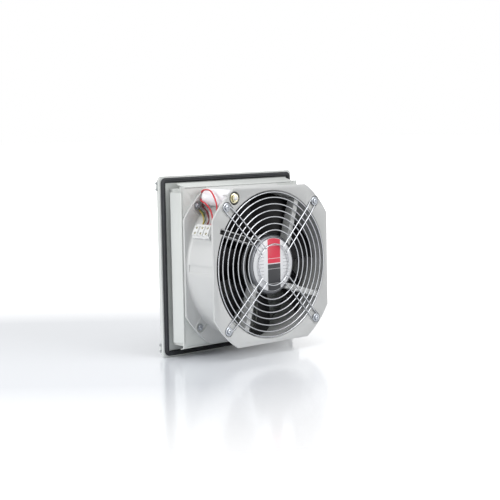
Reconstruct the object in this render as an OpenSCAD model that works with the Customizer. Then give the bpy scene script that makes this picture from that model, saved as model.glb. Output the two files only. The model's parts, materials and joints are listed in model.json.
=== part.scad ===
// Enclosure filter fan: a snap-in panel housing with a louvred cover and filter mat,
// and an axial fan with an external-rotor motor on its rear wall.
// Millimetres. The gasket's sealing face lies in the plane y = 0, centred on the origin.
// +Y runs into the enclosure, +Z is up, and +X is the hinged side of the cover.

/* [Flange and gasket] */
// Side of the square flange that covers the panel opening
flange_w = 323; // [318:1:330]
// Thickness of the flange
flange_t = 5; // [4:0.5:6]
// Corner radius of the flange
flange_corner_r = 6; // [3:0.5:9]
// Step from the flange edge in to the gasket
gasket_inset = 3; // [2:0.5:4]
// Width of the gasket strip
gasket_w = 9; // [7:0.5:10]
// Thickness of the gasket strip under its bead
gasket_strip_t = 2.5; // [1.5:0.5:3]
// Height of the bead that seals on the panel
gasket_bead_h = 2.5; // [1.5:0.5:3]
// Width of the bead
gasket_bead_w = 5; // [3:0.5:6]

/* [Housing] */
// Side of the square opening in the panel
cutout_w = 292; // [290:1:294]
// Clearance between the opening and the housing's rear wall, on each side
cutout_clear = 3; // [2:0.25:4]
// Depth from the panel face to the back of the rear wall
housing_depth = 31; // [28:1:40]
// Wall thickness of the housing
wall_t = 3; // [2:0.5:3.5]
// How far the side walls stand in from the rear wall's edge
flap_recess = 4; // [3.5:0.5:6]
// Radius of the bosses that take the fan screws
boss_r = 6; // [5:0.5:7]
// Depth of those bosses
boss_h = 9; // [7:0.5:10]

/* [Retaining flaps] */
// Length of each flap
flap_len = 266; // [240:1:270]
// Depth of a flap from its hinge to its free edge
flap_depth = 21; // [16:0.5:22]
// How far the free edge leans out past the hinge
flap_lean = 5.5; // [4.5:0.5:6]
// Thickness of a flap
flap_t = 2; // [1.5:0.1:2.2]
// Radius of the rolled hinge edge
flap_barrel_r = 1.5; // [1.2:0.1:1.8]

/* [Front cover] */
// Depth of the cover in front of the flange
cover_d = 15; // [13:0.5:20]
// Step from the flange edge in to the cover edge
cover_reveal = 2.5; // [2:0.5:4]
// Width of the solid frame round the louvres
cover_frame_w = 26; // [20:1:32]
// Thickness of the cover's walls
cover_t = 2.5; // [2:0.5:3]
// Distance between two louvre slats
louvre_pitch = 20; // [16:1:26]
// Thickness of a slat
louvre_t = 2; // [1.5:0.5:3]
// Depth of a slat
louvre_depth = 9; // [7:0.5:10]
// Drop of a slat from its inner to its outer edge
louvre_drop = 9; // [5:0.5:10]
// Height of each cover hinge from the middle
hinge_z = 144; // [130:1:148]
// Radius of the hinge knuckles
knuckle_r = 2.5; // [2.2:0.1:2.8]
// Radius of the hinge pins
hinge_pin_r = 1; // [0.8:0.1:1.2]
// Radius of the snap pegs
peg_r = 2.5; // [2:0.1:3]

/* [Filter] */
// Thickness of the filter mat
mat_t = 16; // [12:0.5:17]
// Thickness of the grid behind the mat
grid_t = 4; // [3:0.5:5]
// Number of openings across the grid
grid_cells = 6; // [4:1:8]
// Width of a grid bar
grid_bar_w = 4; // [3:0.5:6]

/* [Fan frame] */
// Side of the fan's square plates
fan_w = 280; // [278:1:282]
// Depth of the fan over both plates
fan_depth = 80; // [78:1:90]
// Thickness of each plate
plate_t = 4.5; // [4:0.25:5]
// Diameter of the circle that trims the plate corners
corner_d = 328; // [326:1:334]
// Inner diameter of the duct
duct_d = 263; // [260:1:264]
// Wall thickness of the duct
duct_wall = 3; // [2.5:0.25:3]
// Depth of the flare where the duct meets the inlet plate
flare_d = 9; // [7:0.5:10]
// How far the flare spreads past the duct's wall
flare_w = 4.5; // [3:0.25:5]
// Distance between two screws along a side
screw_square = 216; // [214:1:218]
// Radius of the U-shaped pocket round each screw
pocket_r = 9.5; // [9:0.25:10]
// Depth of those pockets
pocket_d = 2; // [1.5:0.25:2.5]
// Width of the flat groove along the duct
groove_w = 11.5; // [8:0.5:14]

/* [Struts and motor] */
// Width of a strut
strut_w = 10; // [8:0.5:12]
// Depth of a strut along the airflow
strut_d = 18; // [14:0.5:20]
// Angle of a strut's inner end from upright
strut_in_a = 52; // [44:1:56]
// Angle of a strut's outer end from upright
strut_out_a = 29.5; // [26:0.5:32]
// Width of the cable channel
channel_w = 11.5; // [10:0.5:13]
// Wall thickness of the cable channel
channel_t = 1.5; // [1:0.25:2]
// Radius of the motor's end cap
cap_r = 54; // [52:0.5:55]
// Depth of the end cap
cap_d = 14; // [12:0.5:15]
// Edge radius of the end cap
cap_edge_r = 6; // [4:0.5:7]
// Radius of the label on the cap
label_r = 46; // [40:0.5:47]
// Outer radius of the rotor cup
rotor_r = 52; // [50:0.5:52]
// Depth of the rotor cup
rotor_d = 38; // [34:0.5:39]
// Wall thickness of the rotor cup
rotor_wall = 2.5; // [2:0.25:3]
// Radius of the motor shaft
shaft_r = 4; // [3:0.25:4.5]
// Outer radius of a bearing
bearing_r = 9; // [8:0.25:10]
// Width of a bearing
bearing_w = 7; // [6:0.5:8]
// Number of fan blades
blade_count = 7; // [5:1:9]
// Gap between a blade tip and the duct
tip_gap = 2.5; // [2:0.25:5]

/* [Finger guard] */
// Radii of the guard rings
ring_rs = [37, 62, 73.5, 85.5, 97, 108.5, 120, 129.5];
// Radius of the guard wire
wire_r = 1.1; // [1:0.05:1.2]
// Distance between the two wires of a leg
leg_gap = 14; // [13:0.5:14.5]
// How far the inner ring stands out past the outer ring
guard_rise = 4; // [3:0.25:6]

/* [Capacitor and wiring] */
// Radius of the capacitor
capacitor_r = 15.5; // [14:0.25:15.5]
// Length of the capacitor
capacitor_len = 66; // [58:1:67]
// Sideways place of the capacitor
capacitor_x = 88.6; // [87:0.2:90]
// Height of the capacitor
capacitor_z = 122.7; // [122:0.1:123]
// Length of the terminal block
terminal_len = 44; // [38:1:46]
// Width of the terminal block
terminal_w = 26; // [22:0.5:28]
// Height of the terminal block off the duct
terminal_h = 12; // [10:0.5:14]
// Radius of each conductor entry
entry_r = 1.75; // [1.5:0.05:2]
// Depth of each conductor entry
entry_len = 9; // [7:0.5:10]
// Radius of the capacitor's red leads
lead_r = 1.35; // [1.1:0.05:1.4]
// Radius of the leads to the motor's winding
winding_lead_r = 1.1; // [0.9:0.05:1.15]
// Radius of the earth leads
earth_lead_r = 1.15; // [1:0.05:1.2]

/* [Hidden] */
$fn = 96;

// Overrun of a cut past the face that it opens
cut = 1;
// Running clearance between parts that move past each other
gap = 0.3;
// Running clearance of a pin or shaft in its bore, on the radius
pin_fit = 0.05;
// Sides of a thin lead or wire
lead_sides = 8;

gasket_t = gasket_strip_t + gasket_bead_h;
flange_back_y = -gasket_t;
flange_front_y = flange_back_y - flange_t;
gasket_out = flange_w / 2 - gasket_inset;
gasket_in = gasket_out - gasket_w;
gasket_corner_r = 4;

rear_y = housing_depth;
rear_half = cutout_w / 2 - cutout_clear;
wall_half = rear_half - flap_recess;
inside_half = wall_half - wall_t;

// A flap's hinge axis, for the flap on the +X side
flap_hinge_x = rear_half - flap_barrel_r;
flap_hinge_y = rear_y - flap_barrel_r;
flap_free_y = flap_hinge_y - flap_depth;
flap_slot_half = flap_len / 2 + gap;
flap_root = flap_barrel_r - pin_fit;

cover_half = flange_w / 2 - cover_reveal;
cover_back_y = flange_front_y - gap;
cover_front_y = cover_back_y - cover_d;
cover_chamfer = cover_d * 2 / 3;
cover_corner_r = 8;
louvre_half = cover_half - cover_frame_w;
louvre_count = floor(2 * louvre_half / louvre_pitch);
louvre_in_y = cover_front_y + cover_t + louvre_depth;
mullion_w = 3;
mullion_share = 1 / 3;

hinge_x = flange_w / 2;
hinge_y = flange_front_y - knuckle_r;
ear_h = 4;
lug_h = 7;
ear_foot = 6;
lug_reach = cover_reveal + cover_t;
peg_len = flange_t - wall_t / 2 + gap;
peg_x = -cover_half + 3 * peg_r;
peg_z = 100;

ledge_t = 2;
ledge_w = 5;
grid_fit = gap;
grid_half = inside_half - grid_fit;
grid_back_y = rear_y - wall_t - boss_h - gap;
grid_front_y = grid_back_y - grid_t;
mat_back_y = grid_front_y;
mat_front_y = mat_back_y - mat_t;
mat_half = inside_half - 2;

fan_half = fan_w / 2;
fan_in_y = rear_y;
fan_out_y = rear_y + fan_depth;
plate_in_y = fan_in_y + plate_t;
plate_out_y = fan_out_y - plate_t;
duct_r = duct_d / 2;
duct_out_r = duct_r + duct_wall;
mouth_r = plate_t;
lip_r = 2;
screw_at = screw_square / 2;
screw_hole_r = 2.75;
// Half the width of a pocket's open end
pocket_half = pocket_r - 0.4;
screw_r = 2.5;
washer_r = 8;
washer_t = 1.2;
head_r = 4.75;
head_h = 3;
drive_r = 2.4;
drive_w = 1.1;
drive_d = 1.8;
groove_d = 1;
inlet_r = duct_r + mouth_r;

cap_back_y = fan_out_y - cap_d;
strut_back_y = fan_out_y - lip_r;
strut_front_y = strut_back_y - strut_d;
hub_ring_w = 8;
hub_ring_front_y = cap_back_y - hub_ring_w;
hub_ring_in_r = cap_r - hub_ring_w;
channel_out_r = duct_out_r + plate_t;
channel_floor_t = 2;
strut_in_r = cap_r - hub_ring_w / 2;

cap_wall = 3;
label_t = 0.4;
label_band_w = 30;
tube_wall = 3;
tube_r = bearing_r + tube_wall;
motor_screw_r = 1.8;
motor_head_r = 3.2;
motor_head_h = 2;
motor_screw_at = cap_r - hub_ring_w / 2;
rotor_out_y = hub_ring_front_y - motor_head_h - 2 * gap - 1;
rotor_in_y = rotor_out_y - rotor_d;
tube_in_y = rotor_in_y + rotor_wall + 7;
bearing_in_y = tube_in_y + 1;
bearing_out_y = cap_back_y;
ring_t = 4.5;
air_gap = 0.5;
ring_in_r = rotor_r - rotor_wall - ring_t;
stator_r = ring_in_r - air_gap;
coil_h = 4.5;
stator_in_y = tube_in_y + 1;
stator_out_y = rotor_out_y - coil_h - 1;
ring_inset = 4;
collar_r = 6;
circlip_r = 6.5;
circlip_t = 1;
shaft_end = 1.5;
sleeve_t = 2;
sleeve_r = rotor_r + sleeve_t;
tip_r = duct_r - tip_gap;

outer_ring_y = fan_out_y + 0.2;
loop_r = leg_gap / 2;
loop_y = fan_out_y - pocket_d + pin_fit + wire_r;
loop_flat = 6;

capacitor_out_y = plate_out_y;
capacitor_in_y = capacitor_out_y - capacitor_len;
seat_r = 11.5;
seat_hole_r = 12;
stud_r = 4;
stud_len = 9;
nut_r = 7;
nut_h = 4;
zinc_washer_r = 8.5;
zinc_washer_t = 1.2;
bracket_t = 1.5;
bracket_w = 20;
bracket_lip = 8;
rim_t = 1.5;

terminal_a = 27.5;
terminal_out_y = strut_front_y - gap;
terminal_in_y = terminal_out_y - terminal_len;
terminal_seat_r = duct_out_r + pin_fit;
pole_count = 3;
pole_pitch = terminal_len / pole_count;
clamp_r = 2.6;
clamp_depth = 3;
clamp_screw_r = 2.2;

cable_r = 2.75;
cable_y = strut_back_y - 5;
cable_bend_r = 4 * cable_r;
tag_t = 0.8;
tag_r = 4.2;
tag_a = 238;
tag_len = 7.3;
tag_half_w = 2.4;

// Routes of the leads, as points chosen by hand
red_upper_route = [[97.2, 39.2, 127.8], [97.6, 38.2, 129.2], [100.4, 38, 132.6], [102, 43, 135.2],
    [103.6, 54, 137.2], [107.8, 70, 135.5], [112.4, 84, 126.5], [116.4, 94.5, 114.5],
    [117.6, 97, 103.5], [116.2, 93, 92.5], [115.4, 88, 84], [117.6, 85.5, 76.2]];
red_lower_route = [[96.6, 39.2, 123.4], [98.6, 38.2, 122], [103.2, 38.6, 119], [106, 44, 116.8],
    [107.2, 54, 113.5], [108.6, 65, 107], [110.6, 74, 99], [113.2, 79.5, 90.5],
    [114.4, 80.5, 83.5], [117.6, 80.5, 76.2]];
winding_outer_route = [[96, 39.2, 114.6], [98, 38.2, 111.8], [101, 38.6, 108.2], [102.4, 44, 104.6],
    [104.6, 53, 100.6], [107.4, 59, 96], [110.6, 65, 91], [112.6, 70, 84.5], [117.6, 71.5, 76.2]];
winding_inner_route = [[92.6, 39.2, 112.4], [94.6, 38.2, 109.6], [98, 38.6, 105.6], [99.6, 45, 102.4],
    [101.8, 54, 98.4], [105, 60.5, 93.6], [108.6, 65.5, 88.4], [111.8, 67.6, 82.8],
    [116.15, 67.6, 75.6]];
earth_outer_route = [[104.7, 35.2, 100.5], [103.2, 36.8, 97.6], [103.6, 41, 95], [106.6, 47, 91.6],
    [110.6, 53, 86.8], [113.6, 57, 82], [117.6, 58, 76.2]];
earth_inner_route = [[102.5, 35.2, 101.9], [100.8, 37, 99], [100.4, 41.5, 95.8], [104, 48, 91],
    [107.6, 54, 86], [110.6, 56, 81.6], [116.1, 55.6, 75.4]];

// A slab of the drawn outline, from y0 and t thick, with the outline's y as height
module slab(y0, t) {
    translate([0, y0 + t, 0]) rotate([90, 0, 0]) linear_extrude(t) children();
}

// A turned form about the fan axis, drawn as radius and place along Y
module turned() {
    rotate([-90, 0, 0]) rotate_extrude() children();
}

// A disc or, with a bore, a washer along Y
module disc(x, z, y0, t, r, bore = 0) {
    translate([x, y0, z]) rotate([-90, 0, 0]) difference() {
        cylinder(h = t, r = r);
        if (bore > 0) translate([0, 0, -cut]) cylinder(h = t + 2 * cut, r = bore);
    }
}

// The four screw places of the fan
module at_screws() {
    for (sx = [-1, 1], sz = [-1, 1]) translate([sx * screw_at, 0, sz * screw_at]) children();
}

// A square outline with round corners, by its half width
module rounded_exact(half, r) {
    square([2 * half, 2 * (half - r)], center = true);
    square([2 * (half - r), 2 * half], center = true);
    for (sx = [-1, 1], sz = [-1, 1]) translate([sx * (half - r), sz * (half - r)]) circle(r);
}

module housing_screw_bosses() {
    at_screws() disc(0, 0, rear_y - wall_t - boss_h, boss_h + pin_fit, boss_r);
}

module base_housing() {
    color([0.88, 0.89, 0.88]) difference() {
        union() {
            slab(flange_front_y, flange_t) rounded_exact(flange_w / 2, flange_corner_r);
            slab(flange_front_y, rear_y - flange_front_y) square(2 * wall_half, center = true);
            slab(rear_y - wall_t, wall_t) square(2 * rear_half, center = true);
        }
        // The hollow for the filter, which leaves a ledge behind the grid
        slab(flange_front_y - cut, grid_back_y - flange_front_y + cut)
            square(2 * inside_half, center = true);
        slab(grid_back_y - cut, ledge_t + 2 * cut) square(2 * (inside_half - ledge_w), center = true);
        difference() {
            slab(grid_back_y + ledge_t, rear_y - wall_t - grid_back_y - ledge_t)
                square(2 * inside_half, center = true);
            housing_screw_bosses();
        }
        disc(0, 0, rear_y - wall_t - cut, wall_t + 2 * cut, inlet_r);
        // The slots that the rolled hinge edges lie in
        for (a = [0:90:270]) rotate([0, a, 0])
            translate([flap_hinge_x - flap_barrel_r - gap, rear_y - wall_t - cut, -flap_slot_half])
                cube([2 * flap_recess, wall_t + 2 * cut, 2 * flap_slot_half]);
        at_screws() disc(0, 0, rear_y - boss_h, boss_h + cut, screw_r);
        for (sz = [-1, 1]) disc(peg_x, sz * peg_z, flange_front_y - cut, flange_t + 2 * cut, peg_r + gap);
    }
}

module gasket() {
    color([0.09, 0.09, 0.1]) difference() {
        union() {
            slab(flange_back_y, gasket_strip_t) rounded_exact(gasket_out, gasket_corner_r);
            slab(flange_back_y + gasket_strip_t, gasket_bead_h)
                rounded_exact((gasket_out + gasket_in + gasket_bead_w) / 2, gasket_corner_r);
        }
        slab(flange_back_y - cut, gasket_strip_t + cut) square(2 * gasket_in, center = true);
        slab(flange_back_y + gasket_strip_t - cut, gasket_bead_h + 2 * cut)
            square(gasket_out + gasket_in - gasket_bead_w, center = true);
    }
}

// One flap, drawn on the +X side: a rolled edge at the hinge and a plate that leans out
module retaining_flap() {
    color([0.9, 0.91, 0.9]) translate([0, 0, -flap_len / 2]) {
        translate([flap_hinge_x, flap_hinge_y, 0]) cylinder(h = flap_len, r = flap_barrel_r);
        linear_extrude(flap_len) polygon([
            [flap_hinge_x + flap_root, flap_hinge_y],
            [flap_hinge_x + flap_root + flap_lean, flap_free_y],
            [flap_hinge_x + flap_root + flap_lean - flap_t, flap_free_y],
            [flap_hinge_x + flap_root - flap_t, flap_hinge_y]
        ]);
    }
}

module retaining_flap_left() { retaining_flap(); }
module retaining_flap_right() { rotate([0, 180, 0]) retaining_flap(); }
module retaining_flap_top() { rotate([0, -90, 0]) retaining_flap(); }
module retaining_flap_bottom() { rotate([0, 90, 0]) retaining_flap(); }

// The outline of the cover's louvre slat, as place along Y and height
module slat_outline() {
    polygon([
        [louvre_in_y, louvre_drop / 2],
        [louvre_in_y - louvre_depth, -louvre_drop / 2],
        [louvre_in_y - louvre_depth, -louvre_drop / 2 - louvre_t],
        [louvre_in_y, louvre_drop / 2 - louvre_t]
    ]);
}

// The shell of the cover: a straight skirt, then a chamfer all round
module cover_shell() {
    slab(cover_back_y - cover_d + cover_chamfer, cover_d - cover_chamfer)
        rounded_exact(cover_half, cover_corner_r);
    hull() {
        slab(cover_front_y, cover_t) rounded_exact(cover_half - cover_chamfer, cover_corner_r / 2, $fn = 32);
        slab(cover_back_y - cover_d + cover_chamfer, pin_fit)
            rounded_exact(cover_half, cover_corner_r, $fn = 32);
    }
}

// Three steps stand for the slope of the chamfer's inner side
module cover_hollow() {
    slab(cover_front_y + cover_t, cover_d - cover_t + cut)
        square(2 * (cover_half - cover_chamfer - cover_t), center = true);
    slab(cover_front_y + cover_chamfer + cover_t, cover_d - cover_chamfer - cover_t + cut)
        square(2 * (cover_half - cover_t), center = true);
}

module cover_frame() {
    color([0.87, 0.88, 0.87]) difference() {
        union() {
            difference() {
                cover_shell();
                cover_hollow();
                slab(cover_front_y - cut, cover_d) square(2 * louvre_half, center = true);
            }
            // The frame round the louvres, as deep as the slats
            difference() {
                slab(cover_front_y + cover_t / 2, louvre_in_y - cover_front_y - cover_t / 2)
                    square(2 * (louvre_half + cover_t), center = true);
                slab(cover_front_y - cut, cover_d + cut) square(2 * louvre_half, center = true);
            }
            for (sz = [-1, 1]) {
                disc(peg_x, sz * peg_z, cover_front_y + cover_chamfer, cover_d - cover_chamfer + gap + peg_len, peg_r);
                // The hinge lug reaches from the skirt to the axis
                translate([hinge_x, hinge_y, sz * hinge_z - lug_h / 2]) cylinder(h = lug_h, r = knuckle_r - gap);
                translate([hinge_x - lug_reach - cover_t, hinge_y - knuckle_r + gap, sz * hinge_z - lug_h / 2])
                    cube([lug_reach + cover_t, knuckle_r - gap, lug_h]);
            }
        }
        // Room for the ears on the flange, and the bore of the lug
        for (sz = [-1, 1], se = [-1, 1])
            translate([hinge_x - ear_foot - gap, cover_back_y - 2 * knuckle_r,
                       sz * hinge_z + se * (lug_h + ear_h) / 2 - ear_h / 2 - gap])
                cube([ear_foot + knuckle_r + cut, 2 * knuckle_r + gap + cut, ear_h + 2 * gap]);
        for (sz = [-1, 1])
            translate([hinge_x, hinge_y, sz * hinge_z - lug_h]) cylinder(h = 2 * lug_h, r = hinge_pin_r + pin_fit);
    }
}

// The slats and the two uprights that tie them, in the cover's frame
module cover_louvres() {
    color([0.87, 0.88, 0.87]) {
        for (i = [0:louvre_count - 1])
            translate([0, 0, (i - (louvre_count - 1) / 2) * louvre_pitch])
                rotate([90, 0, 90])
                    linear_extrude(2 * (louvre_half - pin_fit), center = true) slat_outline();
        for (sx = [-1, 1])
            translate([sx * louvre_half * mullion_share - mullion_w / 2,
                       louvre_in_y - louvre_depth, -louvre_half + pin_fit])
                cube([mullion_w, louvre_depth, 2 * (louvre_half - pin_fit)]);
    }
}

// Four ears on the flange that carry the pins, each with its foot on the flange
module hinge_ears() {
    color([0.36, 0.38, 0.39]) for (sz = [-1, 1], se = [-1, 1])
        translate([hinge_x, hinge_y, sz * hinge_z + se * (lug_h / 2 + gap + ear_h / 2 - gap / 2) - ear_h / 2])
            difference() {
                union() {
                    cylinder(h = ear_h - gap, r = knuckle_r);
                    translate([-ear_foot, 0, 0]) cube([ear_foot, knuckle_r, ear_h - gap]);
                }
                translate([0, 0, -cut]) cylinder(h = ear_h + 2 * cut, r = hinge_pin_r);
            }
}

module hinge_pins() {
    color([0.7, 0.7, 0.7]) for (sz = [-1, 1])
        translate([hinge_x, hinge_y, sz * hinge_z - lug_h / 2 - ear_h])
            cylinder(h = lug_h + 2 * ear_h, r = hinge_pin_r);
}

module filter_grid() {
    cell = (2 * grid_half - grid_bar_w) / grid_cells;
    color([0.85, 0.86, 0.85]) slab(grid_front_y, grid_t) difference() {
        square(2 * grid_half, center = true);
        for (i = [0:grid_cells - 1], j = [0:grid_cells - 1])
            translate([-grid_half + grid_bar_w + i * cell, -grid_half + grid_bar_w + j * cell])
                square(cell - grid_bar_w);
    }
}

module filter_mat() {
    color([0.93, 0.93, 0.92]) slab(mat_front_y, mat_t) square(2 * mat_half, center = true);
}

// Outline of a fan plate: a square trimmed by the corner circle
module plate_outline() {
    intersection() {
        square(2 * fan_half, center = true);
        circle(corner_d / 2);
    }
}

// Steps in the round mouth and in the flare of the duct
round_steps = 6;

// The air way through the inner plate, with its round mouth
module mouth_way() {
    polygon(concat(
        [[0, fan_in_y - cut], [inlet_r, fan_in_y - cut]],
        [for (i = [0:round_steps]) let (a = 90 * i / round_steps)
            [duct_r + mouth_r * (1 - sin(a)), fan_in_y + mouth_r * (1 - cos(a))]],
        [[duct_r, plate_in_y + cut], [0, plate_in_y + cut]]
    ));
}

// The air way through the outer plate, with its bevelled lip
module lip_way() {
    polygon([[0, plate_out_y - cut], [duct_r, plate_out_y - cut], [duct_r, fan_out_y - lip_r],
             [duct_r + lip_r, fan_out_y], [duct_r + lip_r, fan_out_y + cut], [0, fan_out_y + cut]]);
}

// The duct's wall between the plates, which flares out towards the inner one
module duct_profile() {
    polygon(concat(
        [[duct_r, plate_in_y], [duct_r, plate_out_y], [duct_out_r, plate_out_y],
         [duct_out_r, plate_in_y + flare_d]],
        [for (i = [1:round_steps]) let (a = 90 * i / round_steps)
            [duct_out_r + flare_w * (1 - cos(a)), plate_in_y + flare_d * (1 - sin(a))]]
    ));
}

// A strut's inner and outer end, by its number clockwise from the top as seen from the fan side
function strut_point(k, r, a) = [-r * sin(a + 90 * k), r * cos(a + 90 * k)];

// A straight bar between the ends of strut k, w wide, out to radius r_out
module strut_bar(k, w, r_in, r_out) {
    p = strut_point(k, strut_in_r, strut_in_a);
    q = strut_point(k, duct_r, strut_out_a);
    run = q - p;
    a = atan2(run[1], run[0]);
    s0 = r_in - strut_in_r;
    s1 = norm(run) + (r_out - duct_r) / cos(strut_in_a - strut_out_a);
    translate(p) rotate(a) translate([s0, -w / 2]) square([s1 - s0, w]);
}

// The strut that is the cable channel, and where the cable leaves it
cable_strut = 3;
cable_run = strut_point(cable_strut, duct_r, strut_out_a) - strut_point(cable_strut, strut_in_r, strut_in_a);
cable_out = strut_point(cable_strut, duct_r, strut_out_a)
    + cable_run / norm(cable_run) * (channel_out_r - duct_r - cable_r - channel_t);

// The four U-shaped pockets of a plate, which stop at radius r_in
module screw_pockets(y_floor, y_top, r_in) {
    for (sx = [-1, 1], sz = [-1, 1]) difference() {
        slab(y_floor, y_top - y_floor) translate([sx * screw_at, sz * screw_at]) {
            circle(pocket_r);
            rotate(atan2(-sz, -sx)) translate([0, -pocket_half]) square([screw_square / 8, 2 * pocket_half]);
        }
        disc(0, 0, y_floor - cut, y_top - y_floor + 2 * cut, r_in);
    }
}

// Room for the cable channel in the duct and the outer plate
module channel_room() {
    slab(strut_front_y - pin_fit, fan_out_y + cut - strut_front_y)
        strut_bar(cable_strut, channel_w + 2 * pin_fit, strut_in_r, channel_out_r + channel_t + pin_fit);
}

module fan_plate_inner() {
    color([0.86, 0.87, 0.85]) difference() {
        slab(fan_in_y, plate_t) plate_outline();
        turned() mouth_way();
        screw_pockets(plate_in_y - pocket_d, plate_in_y + cut, duct_out_r + flare_w);
        at_screws() disc(0, 0, fan_in_y - cut, plate_t + 2 * cut, screw_hole_r);
    }
}

module fan_plate_outer() {
    color([0.86, 0.87, 0.85]) difference() {
        slab(plate_out_y, plate_t) plate_outline();
        turned() lip_way();
        screw_pockets(fan_out_y - pocket_d, fan_out_y + cut, duct_out_r);
        channel_room();
        at_screws() disc(0, 0, plate_out_y - cut, plate_t + 2 * cut, screw_hole_r);
        disc(capacitor_x, capacitor_z, plate_out_y - cut, plate_t + 2 * cut, seat_hole_r);
    }
}

module fan_duct() {
    color([0.86, 0.87, 0.85]) difference() {
        turned() duct_profile();
        for (a = [0:90:270]) rotate([0, a, 0])
            translate([duct_out_r - groove_d, plate_in_y + flare_d / 2, -groove_w / 2])
                cube([flare_w + 2 * groove_d, plate_out_y - plate_in_y - flare_d / 2 + cut, groove_w]);
        channel_room();
    }
}

// The hub ring, three plain struts and the strut that is the cable channel
module fan_struts() {
    color([0.86, 0.87, 0.85]) difference() {
        union() {
            turned() translate([hub_ring_in_r, hub_ring_front_y])
                square([hub_ring_w, cap_back_y - hub_ring_front_y]);
            difference() {
                union() {
                    intersection() {
                        for (k = [0:2]) slab(strut_front_y, strut_d) strut_bar(k, strut_w, strut_in_r, duct_r);
                        disc(0, 0, strut_front_y - cut, strut_d + 2 * cut, duct_r - pin_fit);
                    }
                    slab(strut_front_y, strut_d + lip_r / 2)
                        strut_bar(cable_strut, channel_w, strut_in_r, channel_out_r + channel_t);
                }
                disc(0, 0, cap_back_y, cap_d + cut, cap_r + gap);
            }
        }
        // The open trough of the cable channel
        slab(strut_front_y + channel_floor_t, strut_d + lip_r)
            strut_bar(cable_strut, channel_w - 2 * channel_t, strut_in_r, channel_out_r);
        translate([cable_out[0], strut_front_y - cut, cable_out[1]]) rotate([-90, 0, 0])
            cylinder(h = channel_floor_t + 2 * cut, r = cable_r + gap);
        for (a = [0:90:270]) rotate([0, a, 0])
            disc(motor_screw_at, 0, hub_ring_front_y - cut, hub_ring_w + 2 * cut, motor_screw_r + gap);
    }
}

// A pan-head screw along Y with its head's underside at y_seat, its head towards +Y
module pan_screw(y_seat, shank_len) {
    difference() {
        turned() polygon([
            [0, y_seat - shank_len], [screw_r, y_seat - shank_len], [screw_r, y_seat], [head_r, y_seat],
            [head_r, y_seat + head_h / 2], [head_r * 0.8, y_seat + head_h * 0.85],
            [head_r / 2, y_seat + head_h], [0, y_seat + head_h]
        ]);
        for (a = [0, 90]) rotate([0, a, 0])
            translate([-drive_r, y_seat + head_h - drive_d, -drive_w / 2]) cube([2 * drive_r, drive_d + cut, drive_w]);
    }
}

fan_washer_r = 6;
fan_seat_y = plate_in_y - pocket_d;

module fan_screws() {
    color([0.75, 0.76, 0.78]) at_screws() pan_screw(fan_seat_y + tag_t + washer_t, plate_t - pocket_d + tag_t + washer_t + boss_h - cut);
}

module fan_washers() {
    color([0.8, 0.81, 0.83]) at_screws() disc(0, 0, fan_seat_y + tag_t, washer_t, fan_washer_r, screw_r);
}

module motor_cap() {
    steps = 5;
    color([0.72, 0.73, 0.74]) difference() {
        turned() polygon(concat(
            [[0, fan_out_y]],
            [for (i = [0:steps]) let (a = 90 * i / steps)
                [cap_r - cap_edge_r * (1 - sin(a)), fan_out_y - cap_edge_r * (1 - cos(a))]],
            [[cap_r, cap_back_y], [hub_ring_in_r, cap_back_y],
             [hub_ring_in_r, fan_out_y - cap_edge_r - cap_wall],
             [tube_r, fan_out_y - cap_edge_r - cap_wall], [tube_r, tube_in_y], [bearing_r, tube_in_y],
             [bearing_r, fan_out_y - cap_wall], [0, fan_out_y - cap_wall]]
        ));
        for (a = [0:90:270]) rotate([0, a, 0]) disc(motor_screw_at, 0, cap_back_y - cut, cap_d / 2 + cut, motor_screw_r);
    }
}

module rating_label() {
    color([0.93, 0.93, 0.93]) disc(0, 0, fan_out_y, label_t, label_r);
}

module motor_screws() {
    color([0.7, 0.71, 0.72]) for (a = [0:90:270]) rotate([0, a, 0]) {
        disc(motor_screw_at, 0, hub_ring_front_y - motor_head_h, motor_head_h, motor_head_r);
        disc(motor_screw_at, 0, hub_ring_front_y - pin_fit, hub_ring_w + cap_d / 2 - cut, motor_screw_r);
    }
}

module stator_core() {
    color([0.45, 0.45, 0.47]) disc(0, 0, stator_in_y, stator_out_y - stator_in_y, stator_r, tube_r);
}

module stator_windings() {
    color([0.72, 0.42, 0.2]) {
        disc(0, 0, stator_in_y - coil_h, coil_h, stator_r - coil_h, tube_r + coil_h);
        disc(0, 0, stator_out_y, coil_h, stator_r - coil_h, tube_r + coil_h);
    }
}

module shaft_bearings() {
    color([0.78, 0.79, 0.8]) {
        disc(0, 0, bearing_in_y, bearing_w, bearing_r, shaft_r + pin_fit);
        disc(0, 0, bearing_out_y, bearing_w, bearing_r, shaft_r + pin_fit);
    }
}

circlip_y = bearing_out_y + bearing_w + gap;
shaft_out_y = circlip_y + circlip_t + shaft_end;

module motor_shaft() {
    color([0.8, 0.8, 0.82]) turned() polygon([
        [0, rotor_in_y], [shaft_r, rotor_in_y], [shaft_r, rotor_in_y + rotor_wall],
        [collar_r, rotor_in_y + rotor_wall], [collar_r, bearing_in_y - gap], [shaft_r, bearing_in_y - gap],
        [shaft_r, circlip_y], [shaft_r * 0.85, circlip_y], [shaft_r * 0.85, circlip_y + circlip_t],
        [shaft_r, circlip_y + circlip_t], [shaft_r, shaft_out_y], [0, shaft_out_y]
    ]);
}

module shaft_circlip() {
    color([0.35, 0.35, 0.36]) difference() {
        disc(0, 0, circlip_y, circlip_t, circlip_r, shaft_r * 0.85);
        translate([0, circlip_y - cut, -circlip_t]) cube([circlip_r + cut, circlip_t + 2 * cut, 2 * circlip_t]);
    }
}

module rotor_cup() {
    color([0.5, 0.51, 0.53]) turned() polygon([
        [shaft_r, rotor_in_y], [rotor_r - rotor_wall, rotor_in_y], [rotor_r, rotor_in_y + rotor_wall],
        [rotor_r, rotor_out_y], [rotor_r - rotor_wall, rotor_out_y],
        [rotor_r - rotor_wall, rotor_in_y + rotor_wall], [shaft_r, rotor_in_y + rotor_wall]
    ]);
}

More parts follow.
